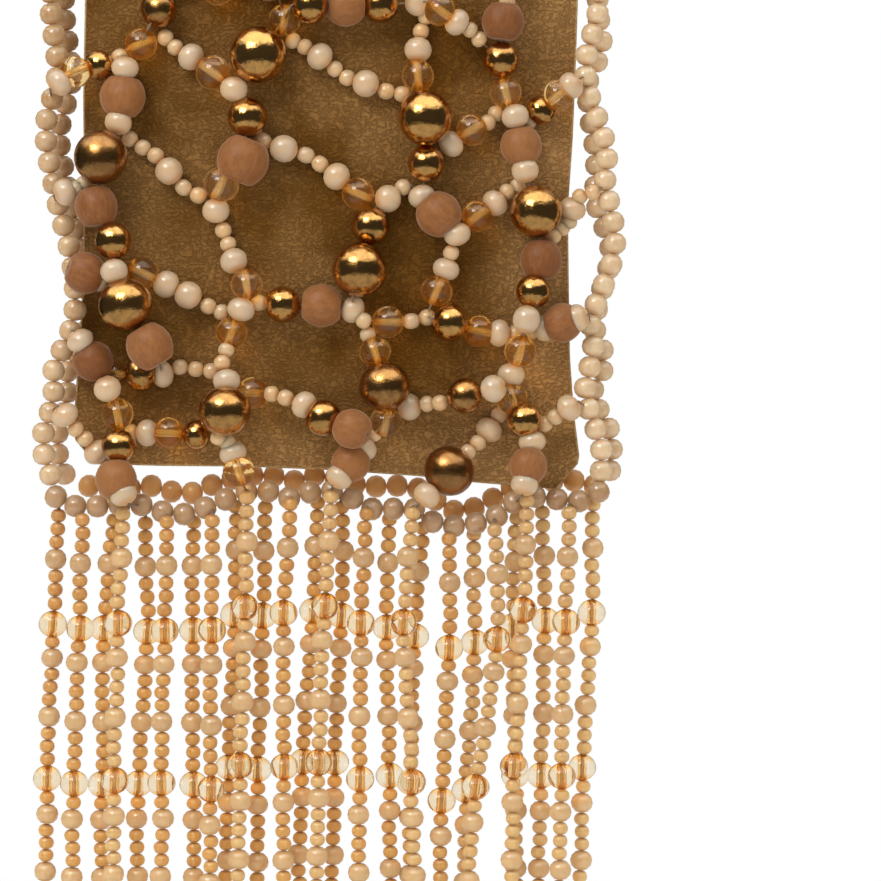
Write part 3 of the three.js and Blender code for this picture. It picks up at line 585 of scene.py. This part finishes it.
# glass lets its own tint of light through in its shadow
def makeGlass(name, look):
    work, shader = newMaterial(name)
    body = work.mixColour(work.attribute("beadTone"), look["clear"], look["amber"])
    # painted amber rim: glass turns to its end colour towards its holes, standing in for the rim that the glass
    # refracts
    end = work.stretch(work.attribute("beadEndShade"), *glassEndShadeRange)
    work.feed(shader, {"Base Color": work.mixColour(end, body, look["end"]), "Roughness": look["rough"],
                       "IOR": look["ior"], "Transmission Weight": look["through"]})
    clear = work.add("ShaderNodeBsdfTransparent", {"Color": look["shade"]})
    work.mixSurfaces(work.add("ShaderNodeLightPath").outputs["Is Shadow Ray"], shader, clear)


for name, look in glassLooks.items():
    makeGlass(name, look)

# the leather is painted paler low down and towards its right side, light painted into its colour; the creases of its
# grain are painted darker, painted shade
leatherLook = {"pale": (0.55, 0.30, 0.105, 1), "deep": (0.168, 0.070, 0.0065, 1), "crease": (0.055, 0.021, 0.002, 1),
               "lowRange": (-0.614, -0.585, -0.15, 0.65), "rightRange": (0.04, 0.074, 0.65, 0.0),
               "broad": (24.0, 3.0, 0.55), "broadRange": (0.3, 0.7, -0.1, 0.5), "squeeze": (0.8, 1.0, 1.25),
               "wrinkle": (620.0, 2.0, 0.55), "wrinkleMiddle": 0.5, "grainRange": (0.0, 0.11),
               "nap": (1500.0, 2.0, 0.6), "napRange": (0.3, 0.7, 0.0, 0.28), "creaseShadeRange": (0.0, 1.0, 0.36, 0.0),
               "roughRange": (0.2, 0.8, 0.7, 0.5), "bump": (1.0, 0.00026), "shine": 0.15}


def makeLeather(look):
    work, shader = newMaterial("tanSuede")
    place = work.objectPlace()
    axes = work.splitAxes(place)
    # painted light: the leather's colour turns paler towards its bottom and its right side
    wearAndPaintedLight = work.calc("MINIMUM", work.stretch(axes["Z"], *look["lowRange"]),
                     work.stretch(axes["X"], *look["rightRange"]))
    broad = work.stretch(work.noiseAt(place, *look["broad"]), *look["broadRange"])
    wrinkle = work.noiseAt(work.scaled(place, look["squeeze"]), *look["wrinkle"])
    ridge = work.calc("ABSOLUTE", work.calc("SUBTRACT", wrinkle, look["wrinkleMiddle"]))
    grain = work.stretch(ridge, *look["grainRange"])
    nap = work.stretch(work.noiseAt(place, *look["nap"]), *look["napRange"])
    shade = work.calc("ADD", wearAndPaintedLight, broad, clamp=True)
    colour = work.mixColour(shade, look["pale"], look["deep"])
    rubbed = work.mixColour(nap, colour, look["crease"])
    # painted shade: the creases of the grain are darkened towards the crease colour
    creaseShade = work.stretch(grain, *look["creaseShadeRange"])
    work.feed(shader, {"Base Color": work.mixColour(creaseShade, rubbed, look["crease"]),
                       "Roughness": work.stretch(grain, *look["roughRange"]),
                       "Normal": work.bump(grain, *look["bump"]), "Specular IOR Level": look["shine"]})


makeLeather(leatherLook)

fibreLooks = {
    # the raw edge's colour also paints a highlight on a narrow band of the panel's face
    "rawEdgeAndPaintedRim": {"pale": (0.56, 0.38, 0.17, 1), "deep": (0.36, 0.22, 0.09, 1), "fibre": (700.0, 3.0, 0.7),
                "bump": (0.3, 0.0004), "rough": 0.9},
    "waxedThread": {"pale": (0.30, 0.205, 0.125, 1), "deep": (0.18, 0.12, 0.07, 1), "fibre": (900.0, 2.0, 0.55),
                    "bump": (0.2, 0.0003), "rough": 0.6},
}
fibreRange = (0.35, 0.65)


def makeFibre(name, look):
    work, shader = newMaterial(name)
    fibre = work.noiseAt(work.objectPlace(), *look["fibre"])
    work.feed(shader, {"Base Color": work.mixColour(work.stretch(fibre, *fibreRange), look["pale"], look["deep"]),
                       "Normal": work.bump(fibre, *look["bump"]), "Roughness": look["rough"]})


for name, look in fibreLooks.items():
    makeFibre(name, look)
print("materials:", len(materials))


# a round bead's outline from one hole to the other, in millimetres: out from the axis and along it
def roundRings(across, along, rings, bore, squareness=1.0):
    turns = [math.pi * i / rings for i in range(rings + 1)]
    return [(max(math.sin(turn) ** squareness * across / 2, bore), math.cos(turn) * along / 2) for turn in turns]


def roundOutline(across, along, rings, bore, squareness=1.0, dimple=0.15):
    outline = roundRings(across, along, rings, bore, squareness)
    return [(0.0, outline[0][1] - dimple), *outline, (0.0, outline[-1][1] + dimple)]


def barrelOutline(across, along, bore, dimple=0.3):
    half, radius = along / 2, across / 2
    side = [(bore, half), (0.5 * radius, half), (0.6 * radius, 0.97 * half), (0.72 * radius, 0.85 * half),
            (0.84 * radius, 0.66 * half), (0.93 * radius, 0.44 * half), (0.985 * radius, 0.2 * half), (radius, 0.0)]
    return [(0.0, half - dimple), *side, *[(r, -z) for r, z in reversed(side[:-1])], (0.0, dimple - half)]


# glass has a bore right through, so its outline goes back inside
def boredOutline(across, along, rings, bore):
    return roundRings(across, along, rings, bore) + [(bore, -along / 6), (bore, along / 6)]


def meshFrom(name, bm):
    mesh = bpy.data.meshes.new(name)
    bm.to_mesh(mesh)
    bm.free()
    return mesh


spinForm = {"lip": 1.7, "weld": 1e-7}


def spunMesh(name, outline, segments, bored=False):
    bm = bmesh.new()
    verts = [bm.verts.new((r * mm, 0, z * mm)) for r, z in outline]
    edges = [bm.edges.new(pair) for pair in zip(verts, verts[1:])]
    if bored:
        edges.append(bm.edges.new((verts[-1], verts[0])))
    bmesh.ops.spin(bm, geom=verts + edges, cent=(0, 0, 0), axis=(0, 0, 1), angle=2 * math.pi, steps=segments,
                   use_merge=True)
    bmesh.ops.remove_doubles(bm, verts=bm.verts, dist=spinForm["weld"])
    bmesh.ops.recalc_face_normals(bm, faces=bm.faces)
    lip = min(r for r, z in outline) * mm * spinForm["lip"]
    for face in bm.faces:
        face.smooth = True
        if bored and all(vert.co.xy.length < lip for vert in face.verts):
            face.material_index = 1  # lining of the bore and its lips
    return meshFrom(name, bm)


beadShapes = {
    "L": spunMesh("goldLarge", roundOutline(16.5, 16.2, 18, 1.1, dimple=0.5), 32),
    "M": spunMesh("goldMedium", roundOutline(11.3, 11.0, 16, 0.9, dimple=0.4), 28),
    "m": spunMesh("goldSmall", roundOutline(9.2, 9.0, 14, 0.8, dimple=0.3), 24),
    "W": spunMesh("woodBarrel", barrelOutline(13.4, 11.6, 1.2), 28),
    "G": spunMesh("glassBall", boredOutline(9.7, 9.5, 18, 0.85), 30, bored=True),
    "g": spunMesh("glassSmall", boredOutline(7.3, 7.3, 16, 0.75), 26, bored=True),
    "C": spunMesh("creamOval", roundOutline(8.4, 7.5, 8, 0.6, squareness=0.88), 16),
    "s": spunMesh("creamSeed", roundOutline(5.1, 5.0, 6, 0.5, squareness=0.78), 10),
    "r": spunMesh("edgeRound", roundOutline(7.1, 6.6, 6, 0.6, squareness=0.8), 12),
    "t": spunMesh("fringeSmall", roundOutline(4.7, 4.05, 6, 0.5, squareness=0.72), 10),
    "c": spunMesh("fringeRound", roundOutline(6.8, 6.3, 6, 0.6, squareness=0.8), 12),
    "v": spunMesh("fringeGlassBall", boredOutline(8.6, 8.3, 14, 1.1), 24, bored=True),
}
print("bead shapes:", {k: len(m.polygons) for k, m in beadShapes.items()})


def addObject(name, bm, materialNames):
    mesh = meshFrom(name, bm)
    for materialName in materialNames:
        mesh.materials.append(materials[materialName])
    made = bpy.data.objects.new(name, mesh)
    scene.collection.objects.link(made)
    return made


def turnTo(along):
    return along.to_track_quat("Z", "Y").to_matrix().to_4x4()


patternSpread = 60


# beads and threads that are one piece; nodes are the source's nodes that it stands for
class BeadPiece:
    def __init__(self, name, body, slot, materialNames):
        self.name, self.body, self.slot = name, body, slot
        self.materialNames = materialNames
        self.nodes = set()
        self.bm = bmesh.new()
        self.tone = self.bm.verts.layers.float.new("beadTone")
        self.end = self.bm.verts.layers.float.new("beadEndShade")
        self.spot = self.bm.verts.layers.float_vector.new("beadSpot")

    def string(self, bead, along, stretch, tone, materialName):
        bm = self.bm
        vertCount, faceCount = len(bm.verts), len(bm.faces)
        bm.from_mesh(beadShapes[bead["code"]])
        bm.verts.ensure_lookup_table()
        bm.faces.ensure_lookup_table()
        verts = bm.verts[vertCount:]
        away = Vector([dice.uniform(-patternSpread, patternSpread) for _ in range(3)])
        tip = max(vert.co.z for vert in verts)
        for vert in verts:
            vert[self.tone] = tone
            # how near each point lies to the bead's ends, for the painted shade where beads touch
            vert[self.end] = abs(vert.co.z) / tip
            vert[self.spot] = vert.co / mm + away
        for face in bm.faces[faceCount:]:
            face.material_index += self.materialNames.index(materialName)
        spin = Matrix.Rotation(dice.uniform(0, 2 * math.pi), 4, "Z")
        size = Matrix.Diagonal((1, 1, stretch)).to_4x4() @ Matrix.Scale(bead["size"], 4)
        matrix = Matrix.Translation(bead["at"] * mm) @ turnTo(along) @ spin @ size
        bmesh.ops.transform(bm, matrix=matrix, verts=verts)

    def addThread(self, points, radius):
        bm = self.bm
        faceCount = len(bm.faces)
        loops = []
        for i, point in enumerate(points):
            along = (points[min(i + 1, len(points) - 1)] - points[max(i - 1, 0)]).normalized()
            matrix = Matrix.Translation(point * mm) @ turnTo(along)
            ring = bmesh.ops.create_circle(bm, segments=threadForm["sides"], radius=radius * mm, matrix=matrix)
            loops.append(list(dict.fromkeys(edge for vert in ring["verts"] for edge in vert.link_edges)))
        for a, b in zip(loops, loops[1:]):
            bmesh.ops.bridge_loops(bm, edges=a + b)
        for loop in (loops[0], loops[-1]):
            bmesh.ops.contextual_create(bm, geom=loop)
        bm.faces.ensure_lookup_table()
        fresh = bm.faces[faceCount:]
        bmesh.ops.recalc_face_normals(bm, faces=fresh)
        for face in fresh:
            face.smooth = True
            face.material_index = self.materialNames.index("waxedThread")

    def finish(self):
        piece = addObject(self.name, self.bm, self.materialNames)
        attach(piece, self.body)
        if self.nodes:
            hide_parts(*sorted(self.nodes))
        return piece


beadGive = {"hardCodes": "LMmWG", "hard": 0.03, "soft": 0.12}


# the way each bead's hole runs, and how far it is squeezed or drawn out to fit between its neighbours
def beadFrames(beads):
    frames = []
    for i, bead in enumerate(beads):
        before, after = beads[max(i - 1, 0)], beads[min(i + 1, len(beads) - 1)]
        room = [(beside["at"] - bead["at"]).length / (0.5 * (beside["along"] + bead["along"]))
                for beside in (before, after) if beside is not bead]
        give = beadGive["hard" if bead["code"] in beadGive["hardCodes"] else "soft"]
        along = (after["at"] - before["at"]).normalized()
        frames.append((along, min(max(sum(room) / len(room), 1 - give), 1 + give)))
    return frames


# tones from pale or bright to deep or aged
beadTones = {"agedShare": 0.2, "aged": 0.55, "gold": (0, 0.22), "s": (0.35, 0.85), "C": (0.0, 0.35),
             "other": (0.1, 0.9)}


def beadToneFor(code):
    if code in "LMm":
        return beadTones["aged"] if dice.random() < beadTones["agedShare"] else dice.uniform(*beadTones["gold"])
    return dice.uniform(*beadTones.get(code, beadTones["other"]))


# the sides are paler than the border: the right one throughout, the left one towards its bottom; the strap leads over
sideTones = {"strapMiddle": 0.55, "strapSpread": 0.43, "right": 0.12, "leftTop": 1.0, "leftPaler": 0.72, "spread": 0.15}


def sideTone(node, at):
    if node.startswith("strap"):
        deep = sideTones["strapMiddle"] - sideTones["strapSpread"] * at.x / edgeRoutes["right"][0][0]
    elif node.endswith("right"):
        deep = sideTones["right"]
    else:
        low = clamp01((heightAt(0) - at.z) / pouchForm["height"])
        deep = sideTones["leftTop"] - sideTones["leftPaler"] * low
    return clamp01(deep + dice.uniform(-sideTones["spread"], sideTones["spread"]))


pieces = {
    "gold": BeadPiece("gold_beads", "bag", "gold", ["agedGold"]),
    "wood": BeadPiece("wood_beads", "bag", "wood", ["roseWood"]),
    "glass": BeadPiece("glass_beads", "bag", "amber_glass", ["amberGlass", "brightLining"]),
    "cream": BeadPiece("cream_beads", "bag", "cream", ["creamBead"]),
    "edge": BeadPiece("edge_beads", "bag", "cream", ["edgeBead", "sideBead"]),
    # the back border takes the paler finish, painted light
    "back": BeadPiece("back_edge_beads", "bag", "cream", ["backBeadPaintedLight"]),
    "strap": BeadPiece("strap_beads", "bag", "cream", ["sideBead"]),
    "thread": BeadPiece("net_threads", "bag", "cream", ["waxedThread"]),
}
threadForm = {"radius": 0.34, "sides": 6, "tieReach": 14, "fringe": 0.6, "knotGap": 3.0, "leastTop": 0.2}


# a thread's points: the beads' middles, and the outer holes of the first and last bead
def strandPoints(beads):
    ends = [b["at"] for b in beads]
    first = ends[0] + (ends[0] - ends[1]).normalized() * beads[0]["along"] * 0.5
    last = ends[-1] + (ends[-1] - ends[-2]).normalized() * beads[-1]["along"] * 0.5
    return [first, *ends, last]


def stringStrand(strand, pieceName=None):
    for bead, (along, stretch) in zip(strand["beads"], beadFrames(strand["beads"])):
        piece = pieces[pieceName or beadKinds[bead["code"]]["piece"]]
        piece.nodes.add(strand["node"])
        tone = beadToneFor(bead["code"]) if bead["tone"] is None else bead["tone"]
        materialName = piece.materialNames[0]
        if pieceName and strand["node"].startswith(("side", "strap")):
            tone, materialName = sideTone(strand["node"], bead["at"]), "sideBead"
        piece.string(bead, along, stretch, tone, materialName)


# thread of a strand in the net, tied at its ends to the nearest beads of other strands
def runThread(strand, others):
    points = strandPoints(strand["beads"])
    for end, place in ((points[0], 0), (points[-1], len(points) + 1)):
        knot = min((bead["at"] for other in others for bead in other["beads"]), key=lambda at: (at - end).length)
        if (knot - end).length < threadForm["tieReach"]:
            points.insert(place, knot)
    pieces["thread"].addThread(points, threadForm["radius"])


rowPieces = {"border_back": "back", "strap_front": "strap", "strap_back": "strap"}
for strands, tied in ((frontNet, frontRows + frontNet), (backNet, backRows + backNet)):
    for strand in strands:
        stringStrand(strand)
        runThread(strand, [other for other in tied if other is not strand])
for strand in frontRows + backRows + strapStrands:
    stringStrand(strand, rowPieces.get(strand["node"], "edge"))
    pieces["thread"].addThread(strandPoints(strand["beads"]), threadForm["radius"])
for piece in pieces.values():
    made = piece.finish()
    print(made.name, len(made.data.polygons), "faces")

fringeMaterials = {"t": "fringeSeed", "c": "fringeCream", "v": "fringeGlass"}
# strands in front and those from paleFrom on have pale seeds; strands behind are painted paler, painted light against
# the shade that the strands in front cast on them; all are paler towards the floor
fringeTones = {"front": {4, 10, 14, 18, 24}, "paleFrom": 21, "behindLayer": 2, "frontLift": 0.3, "behindPaintedLightLift": 0.0,
               "otherLift": 0.55, "spread": 0.35, "length": 115.0, "paler": 0.7}


def stringFringe(number, strand):
    piece = BeadPiece(f"fringe_strand_{number:02d}", strand["node"], "fringe_beads",
                      ["fringeSeed", "fringePale", "fringeCream", "fringeGlass", "amberLining", "waxedThread"])
    piece.nodes.add(strand["node"])
    front, behind = number in fringeTones["front"], strand["layer"] > fringeTones["behindLayer"]
    # painted light: strands behind get a paler tone to undo the shade of the strands in front
    lift = fringeTones["frontLift" if front else "behindPaintedLightLift" if behind else "otherLift"]
    for bead, (along, stretch) in zip(strand["beads"], beadFrames(strand["beads"])):
        low = clamp01((strand["knot"].z - bead["at"].z) / fringeTones["length"])
        tone = (dice.uniform(0.0, fringeTones["spread"]) + lift) * (1 - fringeTones["paler"] * low)
        pale = bead["code"] == "t" and (front or number >= fringeTones["paleFrom"])
        piece.string(bead, along, stretch, tone, "fringePale" if pale else fringeMaterials[bead["code"]])
    points = strandPoints(strand["beads"])
    toKnot = strand["knot"] - points[0]
    topLength = max(toKnot.length - threadForm["knotGap"], threadForm["leastTop"])
    piece.addThread([points[0] + toKnot.normalized() * topLength, *points], threadForm["fringe"])
    piece.finish()


for number, strand in enumerate(fringeStrands, 1):
    stringFringe(number, strand)
print("fringe strung")

# the panel's outline: half widths down each side and the drop of the bottom edge across, in millimetres
pouchOutline = {
    "left": [(0, 73.5), (0.12, 73.7), (0.3, 74.3), (0.49, 74), (0.67, 74.6), (0.76, 75.4), (0.93, 77.4), (1, 77.8)],
    "right": [(0, 77.6), (0.12, 77), (0.23, 76.4), (0.36, 75.5), (0.49, 74), (0.65, 74.3), (0.76, 74.6), (0.86, 75.8),
              (0.95, 77.7), (1, 78)],
    "bottom": [(-1, 160.8), (-0.7, 161.3), (-0.35, 161.5), (0, 162.5), (0.4, 164.4), (0.62, 166.2), (0.93, 168),
               (1, 168.2)],
}
# a panel's grid, its sag, its cut corners, its raw edge, which also paints a narrow highlight band on the panel's face,
# and how far in from the edge the sag starts
pouchLook = {"columns": 60, "rows": 66, "sag": 0.5, "sagSize": 32.0, "sagApart": 40, "sagEase": 6, "cutAcross": 7.6,
             "cutUp": 8.6, "cut": 1.1, "edge": 0.5, "edgeColumns": 1.25, "edgeRows": 1.5, "outermost": 0.999,
             "edgeMargin": 1.3, "slack": 0.08}


def onOutline(name, place):
    table = pouchOutline[name]
    i = next((k for k in range(len(table) - 1) if place <= table[k + 1][0]), len(table) - 2)
    (a, low), (b, high) = table[i], table[i + 1]
    return low + (high - low) * clamp01((place - a) / (b - a))


def makePouchPanel(name, face):
    look = pouchLook
    bm = bmesh.new()
    bmesh.ops.create_grid(bm, x_segments=look["columns"], y_segments=look["rows"], size=1.0)
    for vert in bm.verts:
        across, share = vert.co.x, (1 - vert.co.y) / 2
        # the points next to the sides and the bottom move out, to leave a narrow band along the edge that takes the raw
        # edge's colour, a painted highlight of the lit edge
        if 1 - 2 * look["edgeColumns"] / look["columns"] < abs(across) < look["outermost"]:
            across = math.copysign(1 - look["edge"] / (pouchForm["width"] / 2), across)
        if 1 - look["edgeRows"] / look["rows"] < share < look["outermost"]:
            share = 1 - look["edge"] / pouchForm["height"]
        bottom = onOutline("bottom", across)
        down = share * bottom
        half = onOutline("left" if across < 0 else "right", share)
        half -= look["cutAcross"] * clamp01(1 - (1 - share) * bottom / look["cutUp"]) ** look["cut"]
        x = half * across
        sag = look["sag"] * noise.noise(Vector((x, down, face * look["sagApart"])) / look["sagSize"])
        inside = clamp01(look["sagEase"] * (1 - abs(across))) * clamp01(look["sagEase"] * (1 - share))
        depth = pouchHalfDepth(x, share * pouchForm["height"]) - (0.5 * look["sag"] + sag) * inside
        vert.co = Vector((x, face * depth, heightAt(down))) * mm
    if face > 0:
        bmesh.ops.reverse_faces(bm, faces=bm.faces)
    # painted highlight: the narrow faces along the edge take the raw edge's colour
    narrow = look["edgeMargin"] * look["edge"] * mm
    for panelFace in bm.faces:
        panelFace.smooth = True
        panelFace.material_index = int(min(edge.calc_length() for edge in panelFace.edges) < narrow)
    panel = addObject(name, bm, ["tanSuede", "rawEdgeAndPaintedRim"])
    wall = panel.modifiers.new("leather", "SOLIDIFY")
    wall.thickness = (pouchForm["leather"] - look["slack"]) * mm
    wall.offset = -1.0
    wall.material_offset_rim = 1
    wall.use_even_offset = True
    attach(panel, "bag")
    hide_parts("pouch")
    return panel


for name, face in (("pouch_front", -1), ("pouch_back", 1)):
    panel = makePouchPanel(name, face)
    print(name, len(panel.data.polygons), "faces")

stageForm = {"floor": -0.80, "radius": 0.55, "sides": 96, "grey": (0.86, 0.86, 0.86, 1), "rough": 0.9, "shine": 0.1,
             "whiteRange": (0.22, 0.42), "mirroredRange": (0.0, 1.0, 1.0, 0.55)}


# the floor is pale under the bag, white to the eye further out, and white to beads that mirror it or let it through
def makeFloor():
    bm = bmesh.new()
    bmesh.ops.create_circle(bm, cap_ends=True, segments=stageForm["sides"], radius=stageForm["radius"],
                            matrix=Matrix.Translation((0, 0, stageForm["floor"])))
    work, shader = newMaterial("paleFloor")
    work.feed(shader, {"Base Color": stageForm["grey"], "Roughness": stageForm["rough"],
                       "Specular IOR Level": stageForm["shine"]})
    axes = work.splitAxes(work.objectPlace())
    reach = work.add("ShaderNodeCombineXYZ", {"X": axes["X"], "Y": axes["Y"]}).outputs[0]
    away = work.add("ShaderNodeVectorMath", {0: reach}, operation="LENGTH").outputs["Value"]
    path = work.add("ShaderNodeLightPath").outputs
    through, glossy = path["Is Transmission Ray"], path["Is Glossy Ray"]
    toEye = work.calc("MULTIPLY", path["Is Camera Ray"], work.stretch(away, *stageForm["whiteRange"]))
    seen = work.calc("MAXIMUM", toEye, work.calc("MAXIMUM", through, glossy))
    level = work.calc("MAXIMUM", through, work.stretch(glossy, *stageForm["mirroredRange"]))
    work.mixSurfaces(seen, shader, work.add("ShaderNodeEmission", {"Strength": level}))
    addObject("floor", bm, ["paleFloor"])


makeFloor()

# levels of the light around: in front and behind, and the dark band and softboxes that beads mirror, dimmer behind
worldLook = {"aroundRange": (-0.2, 0.4, 0.265, 1.05), "bandRange": (0.5, 0.68, 0.055, 1.9),
             "behindRange": (0.0, 0.6, 1.0, 0.2), "rim": (0.50, 0.25, 0.07, 1), "rimRange": (0.15, 0.5),
             "white": (1, 1, 1, 1)}


# the room is white to the eye and behind glass, which shows an amber rim, and dim in front where metal mirrors it
def makeWorld():
    world = bpy.data.worlds.new("studio")
    scene.world = world
    world.use_nodes = True
    work = NodeWork(world.node_tree)
    axes = work.splitAxes(work.add("ShaderNodeTexCoord").outputs["Generated"])
    path = work.add("ShaderNodeLightPath").outputs
    strength = work.stretch(axes["Y"], *worldLook["aroundRange"])
    banded = work.stretch(work.calc("ABSOLUTE", axes["Z"]), *worldLook["bandRange"])
    mirrored = work.calc("MULTIPLY", banded, work.stretch(axes["Y"], *worldLook["behindRange"]))
    for flag, value in (("Is Glossy Ray", mirrored), ("Is Transmission Ray", 1.0), ("Is Camera Ray", 1.0)):
        strength = work.mixValue(path[flag], strength, value)
    direct = work.calc("MULTIPLY_ADD", path["Is Transmission Ray"], -1.0, 1.0)
    clear = work.calc("MAXIMUM", direct, work.stretch(axes["Y"], *worldLook["rimRange"]))
    colour = work.mixColour(clear, worldLook["rim"], worldLook["white"])
    work.feed(work.nodes["Background"], {"Strength": strength, "Color": colour})


makeWorld()

# only the key shows in what mirrors it
lamps = {
    "key": {"at": (-0.3, -0.55, -0.1), "to": (0, 0, -0.56), "size": (0.36, 0.26), "watts": 2.6},
    "topSoftbox": {"at": (-0.1, -0.55, 0.15), "to": (0, 0, -0.56), "size": (1.1, 0.7), "watts": 1.05},
    "frontFill": {"at": (0.0, -1.3, -0.8), "to": (0, 0, -0.72), "size": (0.9, 0.7), "watts": 1.65},
    "lowFill": {"at": (0.0, -0.6, -0.77), "to": (0, 0, -0.75), "size": (0.6, 0.05), "watts": 0.45},
    "leftFill": {"at": (-0.8, -0.45, -0.5), "to": (0, 0, -0.62), "size": (0.4, 0.7), "watts": 1.65},
    "rightFill": {"at": (0.8, -0.45, -0.5), "to": (0, 0, -0.62), "size": (0.4, 0.7), "watts": 1.9},
}


def makeLamp(name, lamp):
    light = bpy.data.lights.new(name, "AREA")
    light.shape = "RECTANGLE"
    light.size, light.size_y = lamp["size"]
    light.energy = lamp["watts"]
    holder = bpy.data.objects.new(name, light)
    holder.location = lamp["at"]
    holder.rotation_euler = (Vector(lamp["to"]) - Vector(lamp["at"])).to_track_quat("-Z", "Y").to_euler()
    holder.visible_glossy = name == "key"
    scene.collection.objects.link(holder)


for name, lamp in lamps.items():
    makeLamp(name, lamp)

cameraForm = {"at": (0.035, -0.96, -0.6035), "turn": (math.pi / 2, 0, 0), "lens": 128.1, "sensor": 36.0}
camera = bpy.data.cameras.new("camera")
camera.lens, camera.sensor_width = cameraForm["lens"], cameraForm["sensor"]
cameraHolder = bpy.data.objects.new("camera", camera)
cameraHolder.location = cameraForm["at"]
cameraHolder.rotation_euler = cameraForm["turn"]
scene.collection.objects.link(cameraHolder)
scene.camera = cameraHolder
scene.view_settings.view_transform = "Standard"

print("scene ready")
